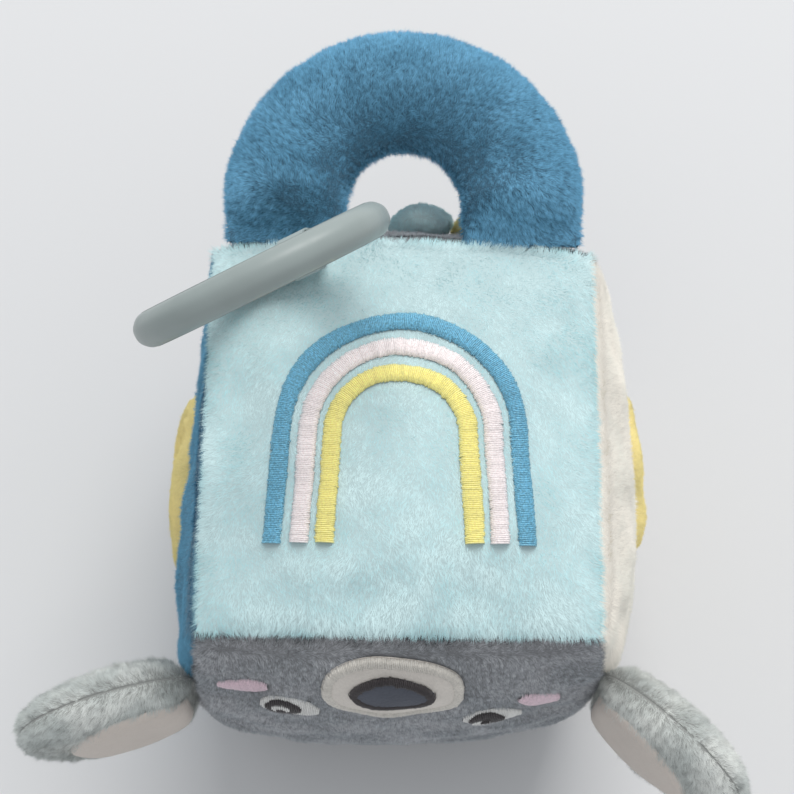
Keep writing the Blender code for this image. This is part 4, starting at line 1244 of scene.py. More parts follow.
@dataclass
class Satin:
    """Satin stitches on a panel: threads that arch over the cloth from edge to edge.

    Over a thread's length x, 0 to 1, its height is rise * (1 - (2 x - 1) ** 4), so both ends dive
    into the pile. Across, it is a low half-round.
    """

    panel: PanelSheet
    finish: Finish
    base: float = 0.2 * MM
    rise: float = 1.0 * MM
    pitch: float = 0.46 * MM
    ragged: float = 0.10 * MM
    steps: int = 8
    seed: int = 3

    def sew(self, name: str, starts: np.ndarray, ends: np.ndarray) -> bpy.types.Object:
        """Lays one thread from each start to each end.

        Args:
            name: Object name.
            starts: Real places on the panel, one row each.
            ends: The other ends.

        Returns:
            One object with every thread.
        """
        rng = np.random.default_rng(self.seed)
        along = unit(ends - starts)
        count = len(starts)
        starts = starts - along * self.ragged * rng.normal(size=(count, 1))
        ends = ends + along * self.ragged * rng.normal(size=(count, 1))
        thread = self.pitch * 1.05
        x = np.linspace(0, 1, self.steps)
        arch = 1 - (2 * x - 1) ** 4
        sides = np.array([-1.0, -0.62, 0.0, 0.62, 1.0])
        drops = np.array([0.8, 0.24, 0.0, 0.24, 0.8]) * thread
        flank = np.stack([-along[:, 1], along[:, 0]], -1) * thread / 2
        middle = starts[:, None] + (ends - starts)[:, None] * x[None, :, None]
        place = middle[:, :, None] + flank[:, None, None] * sides[None, None, :, None]
        level = self.rise + 0.025 * MM * rng.normal(size=(count, 1, 1))
        lift = self.base + level * arch[None, :, None] - drops[None, None]
        points = self.panel.lifted(*self.panel.shares(place[..., 0], place[..., 1]), lift)
        per = self.steps * len(sides)
        faces = (
            np.arange(count)[:, None, None] * per + quads(self.steps, len(sides))
        ).reshape(-1, 4)
        made = new_object(name, points.reshape(-1, 3), faces, self.finish)
        store(made.data, "tip", np.broadcast_to(arch[None, :, None], lift.shape))
        store(made.data, "tone", np.repeat(rng.random(count), per))
        normals = np.zeros(len(made.data.polygons) * 3, np.float32)
        made.data.polygons.foreach_get("normal", normals)
        if float((normals.reshape(-1, 3) @ self.panel.face.outward).mean()) < 0:
            made.data.flip_normals()
        LOG.info("%s: %d stitches", name, count)
        return made

    def band(self, name: str, path: np.ndarray, width: float) -> bpy.types.Object:
        """Stitches straight across a centre line."""
        middle, along = even_path(path, self.pitch)
        across = np.stack([-along[:, 1], along[:, 0]], -1) * width / 2
        return self.sew(name, middle - across, middle + across)

    def border(self, name: str, motif: Motif, width: float) -> bpy.types.Object:
        """Stitches from an outline inwards."""
        edge = np.array(motif.centre) + motif.outline(np.linspace(0, 2 * math.pi, 721))
        outer, along = even_path(edge, self.pitch)
        return self.sew(name, outer, outer + np.stack([-along[:, 1], along[:, 0]], -1) * width)

    def fill(self, name: str, centre: Sequence[float], half: tuple[float, float],
             roll_deg: float) -> bpy.types.Object:
        """Stitches side by side that fill an oval."""
        wide, high = half
        x = np.arange(-wide + self.pitch / 2, wide, self.pitch)
        y = high * np.sqrt(np.clip(1 - (x / wide) ** 2, 0, 1)) + 0.1 * MM
        roll = math.radians(roll_deg)
        turn = np.array([[math.cos(roll), math.sin(roll)], [-math.sin(roll), math.cos(roll)]])
        low, top = np.stack([x, -y], -1) @ turn, np.stack([x, y], -1) @ turn
        return self.sew(name, np.array(centre) + low, np.array(centre) + top)


def even_path(path: np.ndarray, pitch: float) -> tuple[np.ndarray, np.ndarray]:
    """Places and directions one pitch apart along a path."""
    run = np.concatenate([[0.0], np.cumsum(np.linalg.norm(np.diff(path, axis=0), axis=1))])
    count = max(2, round(run[-1] / pitch))
    where = (np.arange(count) + 0.5) / count * run[-1]
    slope = unit(np.gradient(path, axis=0))
    place = np.stack([np.interp(where, run, path[:, k]) for k in range(2)], -1)
    return place, unit(np.stack([np.interp(where, run, slope[:, k]) for k in range(2)], -1))


def fit(
    piece: bpy.types.Object, body: Body, slot: str, *nodes: str, fill: Optional[float] = None
) -> None:
    """Lets a finished piece ride on its body and stand for its nodes.

    Args:
        piece: The piece, in place.
        body: What it moves with.
        slot: Not used.
        nodes: CAD nodes that it stands for.
        fill: Not used.
    """
    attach(piece, body.value)
    if nodes:
        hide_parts(*nodes)
    LOG.info("%s rides on %s", piece.name, body.value)


# Sub-assemblies


@dataclass
class Rainbow:
    """Three satin bands on the upper panel: splayed legs and a half ellipse."""

    panel: PanelSheet
    width: float = BAND_WIDTH
    bands: tuple = (
        ("rainbow_blue_band", BLUE_THREAD, 31.6 * MM, 29.8 * MM, 30.2 * MM),
        ("rainbow_pink_band", PINK_THREAD, 24.6 * MM, 23.2 * MM, 23.2 * MM),
        ("rainbow_yellow_band", YELLOW_THREAD, 18.3 * MM, 17.0 * MM, 15.8 * MM),
    )

    def path(self, foot_half: float, arch_half: float, rise: float) -> np.ndarray:
        """Centre line of one band."""
        angles = np.linspace(math.pi, 0, 121)
        arch = np.stack([arch_half * np.cos(angles), BAND_SPRING_Y + rise * np.sin(angles)], -1)
        share = np.linspace(0, 1, 30, endpoint=False)
        half = foot_half + (arch_half - foot_half) * share
        leg = np.stack([-half, BAND_FOOT_Y + (BAND_SPRING_Y - BAND_FOOT_Y) * share], -1)
        return np.concatenate([leg, arch, (leg * (-1, 1))[::-1]])

    def covers(self, points: np.ndarray) -> np.ndarray:
        """Whether points of the panel lie under a band."""
        under = np.zeros(len(points), bool)
        reach = (self.width / 2 - 0.35 * MM) ** 2
        for _, _, *sizes in self.bands:
            middle, _ = even_path(self.path(*sizes), 0.8 * MM)
            for some in np.array_split(np.arange(len(points)), 12):
                gaps = points[some, None, :2] - middle[None]
                under[some] |= ((gaps**2).sum(-1) < reach).any(axis=1)
        return under

    def build(self) -> None:
        """Stitches the bands."""
        for seed, (name, finish, *sizes) in enumerate(self.bands):
            satin = Satin(self.panel, finish, seed=30 + seed)
            made = satin.band(f"{name}_stitches", self.path(*sizes), self.width)
            fit(made, Body.BLOCK, finish.name, name)


@dataclass
class AnimalFace:
    """Muzzle, nose, eyes and cheeks on the panel that faces the viewer, upside down."""

    panel: PanelSheet
    muzzle_half: tuple[float, float] = (17.8 * MM, 10.9 * MM)
    nose_half: tuple[float, float] = (10.7 * MM, 5.5 * MM)
    eye_half: tuple[float, float] = (7.6 * MM, 5.2 * MM)
    pupil_half: tuple[float, float] = (4.6 * MM, 3.9 * MM)
    cheek_half: tuple[float, float] = (6.5 * MM, 3.5 * MM)
    muzzle_z: float = 96.8 * MM
    nose_z: float = 97.3 * MM
    eye_place: tuple[float, float] = (26.0 * MM, 81.2 * MM)
    cheek_place: tuple[float, float] = (37.8 * MM, 88.4 * MM)
    eye_slope: float = 1.2 * MM
    # Each cheek's turn in degrees: they hang at the ends of a face that curves away
    cheek_rolls: ClassVar[dict[int, float]] = {-1: 9.0, 1: -35.0}
    pupil_shift: float = -1.6 * MM
    # Offsets of each eye's highlight from its pupil, and of the dark dot in the highlight
    glints: ClassVar[dict[int, tuple[float, ...]]] = {
        -1: (-0.6 * MM, 0.2 * MM, -0.6 * MM, -0.3 * MM),
        1: (-1.4 * MM, -1.4 * MM, -0.5 * MM, -0.4 * MM),
    }

    def spot(self, offset: float, z: float) -> tuple[float, float]:
        """Place of a feature, turned with the face's roll about the muzzle."""
        return FACE_CENTRE_X + offset, z + math.tan(math.radians(FEATURE_ROLL_DEG)) * offset

    def motif(self, offset: float, z: float, half: tuple[float, float], power: float = 2.0,
              roll_deg: float = FACE_ROLL_DEG) -> Motif:
        """One sewn shape of the face."""
        return Motif(self.panel, self.spot(offset, z), oval(*half, roll_deg, power))

    def motifs(self) -> list[Motif]:
        """Every shape that the pile stops at."""
        found = [self.motif(0, self.muzzle_z, self.muzzle_half, SQUARED_OVAL)]
        for side in (-1, 1):
            found.append(self.motif(*self.eye_spot(side), self.eye_half))
            place = side * self.cheek_place[0], self.cheek_place[1]
            found.append(self.motif(*place, self.cheek_half, roll_deg=self.cheek_rolls[side]))
        return found

    def eye_spot(self, side: int) -> tuple[float, float]:
        """An eye's offset and height: the pair slopes more than the muzzle."""
        return side * self.eye_place[0], self.eye_place[1] - side * self.eye_slope

    def build(self) -> None:
        """Stitches the whole face."""
        muzzle = self.motif(0, self.muzzle_z, self.muzzle_half, SQUARED_OVAL)
        sheet = PatchSheet(muzzle, -0.1 * MM, 1.3 * MM, 0.35)
        cloth = round_piece("muzzle_cloth", sheet, 120, eased(26) ** 0.8, MUZZLE_FLEECE)
        fit(cloth, Body.BLOCK, "muzzle_plush", "muzzle")
        edge = Satin(self.panel, MUZZLE_THREAD, base=0.5 * MM, rise=1.0 * MM, seed=41)
        fit(edge.border("muzzle_edge_stitches", muzzle, 3.0 * MM), Body.BLOCK, "muzzle_plush")
        nose = self.motif(0, self.nose_z, self.nose_half, POINTED_OVAL)
        sheet = PatchSheet(nose, 0.9 * MM, 1.3 * MM, 0.4)
        cloth = round_piece("nose_cloth", sheet, 96, eased(20) ** 0.8, NOSE_CLOTH)
        fit(cloth, Body.BLOCK, "dark_plush", "nose")
        edge = Satin(
            self.panel, DARK_THREAD, base=1.5 * MM, rise=0.9 * MM, ragged=0.16 * MM, seed=42)
        fit(edge.border("nose_edge_stitches", nose, 2.4 * MM), Body.BLOCK, "dark_plush")
        for side, name in ((-1, "blue_side"), (1, "cream_side")):
            self.build_eye(side, name)
            place = self.spot(side * self.cheek_place[0], self.cheek_place[1])
            cheek = Satin(self.panel, ROSE_THREAD, rise=0.9 * MM, seed=45 + side)
            made = cheek.fill(
                f"{name}_cheek_stitches", place, self.cheek_half, self.cheek_rolls[side])
            fit(made, Body.BLOCK, "cheek_thread", f"{name}_cheek")

    def build_eye(self, side: int, name: str) -> None:
        """One eye: a white oval, a dark pupil on it and a small highlight."""
        offset, z = self.eye_spot(side)
        white = Satin(self.panel, WHITE_THREAD, rise=0.9 * MM, seed=50 + side)
        made = white.fill(
            f"{name}_eye_stitches", self.spot(offset, z), self.eye_half, FACE_ROLL_DEG)
        fit(made, Body.BLOCK, "white_thread", f"{name}_eye_white")
        pupil = Satin(self.panel, DARK_THREAD, base=0.85 * MM, rise=0.8 * MM, seed=55 + side)
        place = self.spot(offset + self.pupil_shift, z)
        made = pupil.fill(f"{name}_pupil_stitches", place, self.pupil_half, FACE_ROLL_DEG)
        fit(made, Body.BLOCK, "dark_thread", f"{name}_pupil")
        glint = Satin(self.panel, WHITE_THREAD, base=1.2 * MM, rise=0.7 * MM, seed=60 + side)
        across, down, dot_across, dot_down = self.glints[side]
        place = self.spot(offset + self.pupil_shift + across, z + down)
        made = glint.fill(f"{name}_eye_glint", place, (2.3 * MM, 1.9 * MM), FACE_ROLL_DEG)
        fit(made, Body.BLOCK, "white_thread")
        dot = Satin(self.panel, DARK_THREAD, base=1.5 * MM, rise=0.7 * MM, seed=65 + side)
        place = self.spot(offset + self.pupil_shift + dot_across, z + dot_down)
        made = dot.fill(f"{name}_eye_dot", place, (1.1 * MM, 0.9 * MM), FACE_ROLL_DEG)
        fit(made, Body.BLOCK, "dark_thread")


@dataclass(frozen=True)
class Plush:
    """How a panel's plush looks and lies."""

    pile: PileFinish
    backing: FleeceFinish
    slot: str
    length: float
    count: int
    nap: tuple[float, float]
    lean_deg: float = 58.0
    width: float = 0.13 * MM
    both_sides: bool = False
    painted_seam_shade: float = 0.9
    fill: float = 0.8


PLUSHES = {
    Face.RAINBOW: Plush(AQUA_PILE, AQUA_BACKING, "aqua_plush", 1.5 * MM, 99_000, (0.1, -1.0),
                        lean_deg=54.0, width=0.16 * MM, both_sides=True, painted_seam_shade=0.5),
    Face.FRONT: Plush(GREY_PILE, GREY_BACKING, "grey_plush", 1.4 * MM, 160_000, (0.25, -1.0)),
    Face.BACK: Plush(GREY_PILE, GREY_BACKING, "grey_plush", 1.6 * MM, 115_000, (0.0, -1.0)),
    Face.BLUE: Plush(SIDE_PILE, SIDE_BACKING, "side_blue_plush", 1.6 * MM, 120_000, (-0.1, -1.0)),
    Face.CREAM: Plush(CREAM_PILE, CREAM_BACKING, "cream_plush", 1.6 * MM, 120_000, (0.1, -1.0),
                      painted_seam_shade=0.3),
    Face.BASE: Plush(GREY_PILE, GREY_BACKING, "grey_plush", 1.5 * MM, 60_000, (0.0, 1.0), 68.0),
}


@dataclass
class StuffedBlock:
    """The six plush panels, what is sewn on them, and the padded shapes at the sides."""

    relax: bool
    cloud_half: float = 25.0 * MM
    cloud_scallop: float = 2.2 * MM
    star_half: float = 23.5 * MM
    star_depth: float = 5.5 * MM

    def __post_init__(self) -> None:
        """Shapes the panels and places what is sewn on them."""
        self.sheets = {face: PanelSheet(face) for face in Face}
        if self.relax:
            relaxer = ClothRelaxer(pressure=2.5, growth=0.015, level=True)
            relaxer.settle(list(self.sheets.values()), 25, 25, self.held)
        self.rainbow = Rainbow(self.sheets[Face.RAINBOW])
        self.face = AnimalFace(self.sheets[Face.FRONT])
        self.cloud = Motif(self.sheets[Face.BLUE], (1.0 * MM, 66.0 * MM), polar(
            lambda turn: self.cloud_half - self.cloud_scallop * (1 - np.abs(np.sin(2.5 * turn)))))
        self.star = Motif(self.sheets[Face.CREAM], (4.0 * MM, 66.0 * MM), polar(
            lambda turn: self.star_half
            - self.star_depth * (1 - np.cos(5 * (turn - math.pi / 2))) / 2))
        petal = oval(8.0 * MM, 12.0 * MM)
        back = self.sheets[Face.BACK]
        self.petals = (
            ("aqua_puff", Motif(back, (4.6 * MM, 87.0 * MM), petal),
             AQUA_PILE, AQUA_BACKING, "aqua_plush"),
            ("yellow_puff", Motif(back, (21.4 * MM, 83.0 * MM), petal), YELLOW_PILE, YELLOW_BACKING,
             "yellow_plush"),
        )

    @staticmethod
    def held(s: np.ndarray, t: np.ndarray, points: np.ndarray) -> np.ndarray:
        """The seams and the patch that the block rests on."""
        edge = np.maximum(np.abs(2 * s - 1), np.abs(2 * t - 1)) > 0.999
        return edge | (points[:, 2] < 0.5 * MM)

    def build(self) -> None:
        """Builds the panels, then what is sewn on them."""
        for seed, (face, plush) in enumerate(PLUSHES.items()):
            self.build_panel(face, plush, seed)
        self.rainbow.build()
        self.face.build()
        self.build_cushion("cloud", self.cloud, 5.2 * MM, 0.75, "cloud_cushion", 70)
        self.build_cushion("star", self.star, 3.6 * MM, 0.7, "star_cushion", 71)
        for seed, petal in enumerate(self.petals):
            self.build_petal(*petal, seed=80 + seed)

    @staticmethod
    def fringe(face: Face) -> Callable[[np.ndarray, np.ndarray, np.ndarray], np.ndarray]:
        """Fibres beside a seam escape the cutting and stand longer.

        Args:
            face: The panel. The upper one's fibres also hang over the handle's feet, and the
                back one's are pressed there.

        Returns:
            A share of the pile's length by place.
        """
        extra = {Face.RAINBOW: 0.7, Face.BACK: -0.9}.get(face, 0.0)

        def scale(s: np.ndarray, t: np.ndarray, points: np.ndarray) -> np.ndarray:
            """The length's share."""
            edge = np.maximum(np.abs(2 * s - 1), np.abs(2 * t - 1))
            return 1 + 0.5 * smooth((edge - 0.93) / 0.06) + extra * smooth((2 * t - 1.94) / 0.05)

        return scale

    def open_cloth(self, face: Face) -> Callable[[np.ndarray], np.ndarray]:
        """Where a panel has pile: nowhere under what is sewn on it."""
        motifs = {
            Face.FRONT: self.face.motifs(), Face.BLUE: [self.cloud], Face.CREAM: [self.star],
        }.get(face, [])

        def keep(points: np.ndarray) -> np.ndarray:
            """Whether points are free of sewn pieces."""
            free = np.ones(len(points), bool)
            for motif in motifs:
                free &= ~motif.covers(points, 0.25 * MM)
            if face is Face.RAINBOW:
                free &= ~self.rainbow.covers(points)
            return free

        return keep

    def build_panel(self, face: Face, plush: Plush, seed: int) -> None:
        """One panel's cloth and pile."""
        sheet = self.sheets[face]
        name = face.node.removesuffix("_panel")
        cloth = cloth_shell(f"{name}_cloth", sheet, 49, 49, plush.backing)
        nodes = (face.node, "stuffing_core") if face is Face.BASE else (face.node,)
        fit(cloth, Body.BLOCK, plush.slot, *nodes, fill=plush.fill)
        pile = Pile(sheet, plush.pile, plush.length, plush.count, plush.width, plush.lean_deg,
                    plush.nap, fan=(2.0, 2.0), fan_power=15, both_sides=plush.both_sides,
                    seed=100 + seed,
                    keep=self.open_cloth(face), scale=self.fringe(face),
                    painted_seam_shade=plush.painted_seam_shade)
        fit(pile.grow(f"{name}_pile"), Body.BLOCK, plush.slot)

    def build_cushion(self, name: str, motif: Motif, height: float, dome: float, node: str,
                      seed: int) -> None:
        """A padded shape sewn flat to a side panel."""
        sheet = PatchSheet(motif, -0.2 * MM, height, dome)
        cloth = round_piece(
            f"{name}_cloth", sheet, 180, eased(30) ** 0.8, YELLOW_BACKING, PUFF_CLOTH_THICKNESS)
        fit(cloth, Body.BLOCK, "yellow_plush", node, fill=0.7)
        pile = Pile(sheet, YELLOW_PILE, 1.3 * MM, 30_000, lean_deg=55, seed=seed,
                    toward=(0.0, 0.2, -1.0), both_sides=True)
        fit(pile.grow(f"{name}_pile"), Body.BLOCK, "yellow_plush")

    def build_petal(self, node: str, motif: Motif, finish: PileFinish, backing: FleeceFinish,
                    slot: str, seed: int) -> None:
        """A padded petal on the back panel."""
        sheet = PuffSheet(motif, 0.3 * MM, 8.8 * MM)
        cloth = round_piece(
            f"{node}_cloth", sheet, 72, np.linspace(0.004, 1, 34), backing,
            PUFF_CLOTH_THICKNESS)
        fit(cloth, Body.BLOCK, slot, node, fill=0.8)
        pile = Pile(sheet, finish, 1.4 * MM, 18_000, lean_deg=48, seed=seed,
                    toward=(0.0, 0.4, -1.0), both_sides=True)
        fit(pile.grow(f"{node}_pile"), Body.BLOCK, slot)


@dataclass
class Handle:
    """The carrying handle: two covers of long plush round a stuffed arch."""

    relax: bool
    length: float = 2.1 * MM
    counts: tuple[int, int] = (96_000, 52_000)

    def build(self) -> None:
        """Builds both covers."""
        sheets = [TubeSheet(1), TubeSheet(-1)]
        if self.relax:
            ClothRelaxer(cap=HANDLE_MOVE_CAP).settle(
                sheets, 33, 13, lambda s, t, p: np.abs(2 * s - 1) > 0.999)
        nodes = (("handle_upper_cover", "handle_stuffing"), ("handle_lower_cover",))
        for sheet, count, stands_for, name in zip(sheets, self.counts, nodes, ("upper", "lower")):
            cloth = cloth_shell(f"handle_{name}_cloth", sheet, 97, 33, HANDLE_BACKING)
            fit(cloth, Body.HANDLE, "blue_plush", *stands_for, fill=0.9)
            pile = Pile(sheet, HANDLE_PILE, self.length, count, width=0.15 * MM, lean_deg=44,
                        nap=(0.4, -1.0), tuft_deg=36, tuft=2.0 * MM, fan=(2.5, 0.0),
                        fan_power=25, both_sides=True,
                        seed=200 + sheet.up)
            fit(pile.grow(f"handle_{name}_pile"), Body.HANDLE, "blue_plush")


@dataclass
class Ear:
    """One ear: two covers of long pile, a smooth patch in front, and its stuffing."""

    name: str
    body: Body
    side: int
    turn_deg: float
    relax: bool
    length: float = 2.5 * MM
    count: int = 42_000

    def build(self) -> None:
        """Builds the patch, then both covers."""
        back, front = (EarSheet(self.side, self.turn_deg, cover) for cover in (1, -1))
        if self.relax:
            ClothRelaxer(cap=0.9 * MM).settle([back, front], 15, 15, lambda s, t, p: s < 0.001)
        patch = EarPatchSheet(front)
        cloth = cloth_shell(f"{self.name}_patch_cloth", patch, 41, 41, CREAM_FLEECE, 0.0, 0.8 * MM)
        fit(cloth, self.body, "cream_plush", f"{self.name}_inner_patch")

        def off_patch(points: np.ndarray) -> np.ndarray:
            """Whether points of the front cover lie beside the patch."""
            reach, high, _ = front.in_plane(points)
            beside = np.hypot(reach - EAR_PATCH_REACH, high) > EAR_PATCH_RADIUS - 1.9 * MM
            return beside | (reach < EAR_PATCH_START)

        def near_seam(s: np.ndarray, t: np.ndarray, points: np.ndarray) -> np.ndarray:
            """The pile is shorter beside the seam round the ear's rim."""
            return 0.4 + 0.6 * smooth(np.abs(back.in_plane(points)[2]) / (1.6 * MM))

        for sheet, cover, keep in ((back, "back", None), (front, "front", off_patch)):
            nodes = [f"{self.name}_{cover}_cover"] + (
                [f"{self.name}_stuffing"] if cover == "back" else [])
            cloth = cloth_shell(
                f"{self.name}_{cover}_cloth", sheet, 41, 41, EAR_BACKING,
                thickness=EAR_CLOTH_THICKNESS)
            fit(cloth, self.body, "grey_plush", *nodes, fill=0.6)
            pile = Pile(sheet, EAR_PILE, self.length, self.count, width=0.16 * MM, lean_deg=56,
                        nap=(1.0, 0.0), swirl_deg=16, tuft_deg=28, tuft=2.8 * MM, fan=(0.0, -0.9),
                        fan_power=3, both_sides=True, seed=300 + self.side, keep=keep,
                        scale=near_seam)
            fit(pile.grow(f"{self.name}_{cover}_pile"), self.body, "grey_plush")


def ring_frame() -> tuple[np.ndarray, np.ndarray, np.ndarray, np.ndarray]:
    """Centre, axis, and the level and upward directions in the ring's own plane."""
    axis = unit(np.array(RING_AXIS))
    level = unit(-np.cross(np.array([0.0, 0.0, 1.0]), axis))
    upward = unit(np.array([0.0, 0.0, 1.0]) - axis[2] * axis)
    return np.array(RING_CENTRE), axis, level, upward


@dataclass
class TeetherRing:
    """The moulded ring: a band with wide bevels, soft corners and a fine parting line."""

    steps: int = 192
    corner_steps: int = 5
    bevel: float = 2.6 * MM
    parting: float = 0.10 * MM

    def section(self) -> np.ndarray:
        """Closed outline of the band, across and outwards, with every corner rounded."""
        half, deep, bevel = RING_BAND_WIDTH / 2, RING_BAND_DEPTH / 2, self.bevel
        corners = np.array([
            (-half + bevel, deep), (half - bevel, deep),
            (half, deep - bevel), (half, -deep + bevel),
            (half - bevel, -deep), (-half + bevel, -deep),
            (-half, -deep + bevel), (-half, deep - bevel),
        ])
        before, after = (
            unit(np.roll(corners, 1, 0) - corners), unit(np.roll(corners, -1, 0) - corners))
        x = np.linspace(0, 1, self.corner_steps)[None, :, None]
        start, end = corners + before * RING_FILLET, corners + after * RING_FILLET
        bend = (
            (1 - x) ** 2 * start[:, None] + 2 * x * (1 - x) * corners[:, None]
            + x * x * end[:, None])
        outline = bend.reshape(-1, 2)
        lip = 0.18 * MM
        seam = np.array([(half, lip), (half + self.parting, 0.0), (half, -lip)])
        first, second = 3 * self.corner_steps, 7 * self.corner_steps
        other = seam[::-1] * (-1, 1)
        return np.concatenate(
            [outline[:first], seam, outline[first:second], other, outline[second:]])

    def build(self) -> None:
        """Turns the band's outline round the ring's axis."""
        centre, axis, level, upward = ring_frame()
        section = self.section()
        turn = np.arange(self.steps) / self.steps * 2 * math.pi
        spoke = np.cos(turn)[:, None] * level + np.sin(turn)[:, None] * upward
        out = RING_RADIUS + section[:, 1]
        points = centre + spoke[:, None] * out[None, :, None] + axis * section[None, :, 0, None]
        count, per = self.steps, len(section)
        faces = quads(count + 1, per, wrap=True) % (count * per)
        made = new_object("teether_ring_plastic", points.reshape(-1, 3), faces, RING_PLASTIC)
        fit(face_outwards(made), Body.RING, "teether", "teether_ring")


@dataclass
class RibbonLoop:
    """Woven ribbon that runs from the seam round the ring's band and back."""

    arc_steps: int = 28
    side_steps: int = 12
    fold_steps: int = 6

    def teardrop(self, big: float, small: float, drop: float) -> np.ndarray:
        """Outline round a large circle at zero and a small one at drop."""
        lean = math.asin((big - small) / drop)
        turn = np.linspace(-math.pi / 2 - lean, math.pi / 2 + lean, self.arc_steps + 1)
        arc = np.stack([big * np.sin(turn), -big * np.cos(turn)], -1)
        turn = np.linspace(math.pi / 2 + lean, 3 * math.pi / 2 - lean, self.fold_steps + 1)
        fold = np.stack([small * np.sin(turn), drop - small * np.cos(turn)], -1)
        share = np.linspace(0, 1, self.side_steps + 2)[1:-1, None]
        down, up = arc[-1] + (fold[0] - arc[-1]) * share, fold[-1] + (arc[0] - fold[-1]) * share
        return np.concatenate([arc, down, fold, up])

    def build(self) -> None:
        """Lays the ribbon round the band and down to its sewn root."""
        centre, _, level, upward = ring_frame()
        angle = math.radians(RIBBON_ANGLE_DEG)
        held = centre + (math.cos(angle) * level + math.sin(angle) * upward) * RING_RADIUS
        tangent = math.cos(angle) * upward - math.sin(angle) * level
        root = np.array(RIBBON_ROOT)
        drop = float(np.linalg.norm(root - held))
        down = (root - held) / drop
        reach = math.hypot(RING_BAND_WIDTH / 2, RING_BAND_DEPTH / 2 - RING_BEVEL) + RIBBON_CLEARANCE
        inside = self.teardrop(reach, RIBBON_FOLD_RADIUS, drop)
        outside = self.teardrop(
            reach + RIBBON_THICKNESS, RIBBON_FOLD_RADIUS + RIBBON_THICKNESS, drop)
        share = smooth(inside[:, 1] / drop)[:, None]
        lengthways = unit(tangent * (1 - share) + np.array([1.0, 0.0, 0.0]) * share)
        flank = unit(np.cross(down, lengthways))
        half = lengthways * RIBBON_WIDTH / 2
        near = held + flank * inside[:, :1] + down * inside[:, 1:]
        far = held + flank * outside[:, :1] + down * outside[:, 1:]
        sections = np.stack([near - half, far - half, far + half, near + half], 1)
        count = len(sections)
        faces = quads(count + 1, 4, wrap=True) % (count * 4)
        made = new_object("ribbon_loop_cloth", sections.reshape(-1, 3), faces, RIBBON_CLOTH)
        run = np.concatenate([[0.0], np.cumsum(np.linalg.norm(np.diff(far, axis=0), axis=1))])
        store(made.data, "tip", np.repeat(run, 4))
        made.data.shade_flat()
        fit(face_outwards(made), Body.LOOP, "ribbon", "ribbon_loop")


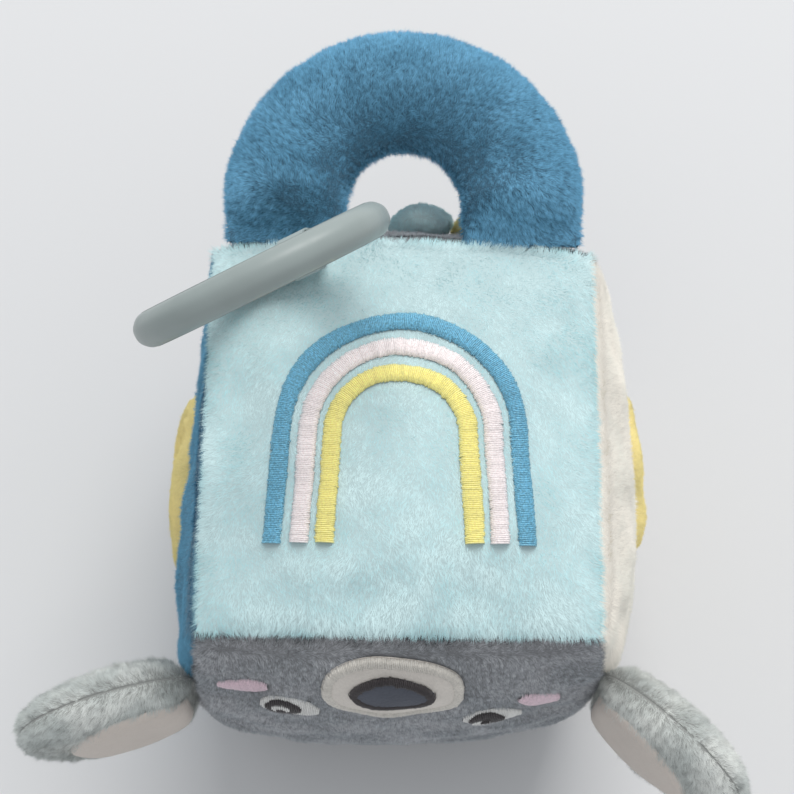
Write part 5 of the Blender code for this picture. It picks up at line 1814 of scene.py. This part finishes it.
@dataclass
class Studio:
    """Pale floor, soft light from behind and above, and the camera."""

    key_watts: float = 31.0
    fill_level: float = 0.60
    floor_half: float = 4.0

    def build(self) -> None:
        """Builds the floor, the light, the fill and the camera."""
        half = self.floor_half
        corners = np.array([(-half, -half, 0), (half, -half, 0), (half, half, 0), (-half, half, 0)])
        new_object("studio_floor", corners, np.array([[0, 1, 2, 3]]), FLOOR)
        self.lamp("key_light", (0.3, 1.4, 1.65), 1.3, self.key_watts, (1.0, 0.985, 0.96))
        self.light_world()
        self.aim_camera()

    def lamp(
        self, name: str, place: tuple[float, ...], size: float, watts: float, colour: Colour
    ) -> None:
        """A square soft light that looks at the block."""
        light = bpy.data.lights.new(name, "AREA")
        light.energy, light.size, light.color = watts, size, colour
        lamp = bpy.data.objects.new(name, light)
        bpy.context.scene.collection.objects.link(lamp)
        away = unit(np.array(place) - np.array([0, 0, 0.06]))
        side = unit(np.cross([0, 0, 1.0], away))
        lamp.matrix_world = place_matrix(side, np.cross(away, side), away, np.array(place))

    def light_world(self) -> None:
        """A pale blue fill, and a pale backdrop for what sees it."""
        world = bpy.data.worlds.new("studio_world")
        bpy.context.scene.world = world
        world.use_nodes = True
        nodes, links = world.node_tree.nodes, world.node_tree.links
        shown, fill = nodes["Background"], nodes.new("ShaderNodeBackground")
        shown.inputs["Color"].default_value = (*FLOOR_GREY, 1)
        fill.inputs["Color"].default_value = (0.96, 0.98, 1.0, 1)
        fill.inputs["Strength"].default_value = self.fill_level
        rays, mix = nodes.new("ShaderNodeLightPath"), nodes.new("ShaderNodeMixShader")
        seen = rays.outputs["Is Camera Ray"]
        for kind in ("Is Glossy Ray", "Is Transmission Ray"):
            most = nodes.new("ShaderNodeMath")
            most.operation = "MAXIMUM"
            links.new(seen, most.inputs[0])
            links.new(rays.outputs[kind], most.inputs[1])
            seen = most.outputs[0]
        links.new(seen, mix.inputs[0])
        links.new(fill.outputs[0], mix.inputs[1])
        links.new(shown.outputs[0], mix.inputs[2])
        links.new(mix.outputs[0], nodes["World Output"].inputs["Surface"])

    def aim_camera(self) -> None:
        """The photograph's view, from above the block's face."""
        tilt, turn, roll = map(math.radians, (CAMERA_TILT_DEG, CAMERA_TURN_DEG, CAMERA_ROLL_DEG))
        flat = math.cos(turn)
        view = np.array([math.sin(turn), math.sin(tilt) * flat, -math.cos(tilt) * flat])
        level = unit(np.cross(view, [0, 1.0, 0]))
        rising = np.cross(level, view)
        right = math.cos(roll) * level - math.sin(roll) * rising
        up = math.cos(roll) * rising + math.sin(roll) * level
        eye = -CAMERA_DISTANCE * view - CAMERA_SLIDE[0] * right - CAMERA_SLIDE[1] * up
        eye = eye + np.array([0, 0, TOP_SEAM_Z])
        data = bpy.data.cameras.new("camera")
        data.lens, data.sensor_width = CAMERA_LENS, CAMERA_SENSOR
        data.clip_start, data.clip_end = 0.01, 20.0
        camera = bpy.data.objects.new("camera", data)
        bpy.context.scene.collection.objects.link(camera)
        camera.matrix_world = place_matrix(right, up, -view, eye)
        bpy.context.scene.camera = camera


def place_matrix(right: np.ndarray, up: np.ndarray, away: np.ndarray, place: np.ndarray) -> Matrix:
    """A placing matrix from three directions and a place."""
    rows = np.eye(4)
    rows[:3, :4] = np.stack([right, up, away, place], -1)
    return Matrix(rows.tolist())


def main() -> None:
    """Builds every sub-assembly."""
    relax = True
    bpy.context.scene.view_settings.view_transform = "Standard"
    StuffedBlock(relax).build()
    Handle(relax).build()
    Ear("blue_side_ear", Body.BLUE_EAR, -1, 198.0, relax).build()
    Ear("cream_side_ear", Body.CREAM_EAR, 1, -42.0, relax).build()
    TeetherRing().build()
    RibbonLoop().build()
    Studio().build()


if __name__ == "__main__":
    main()
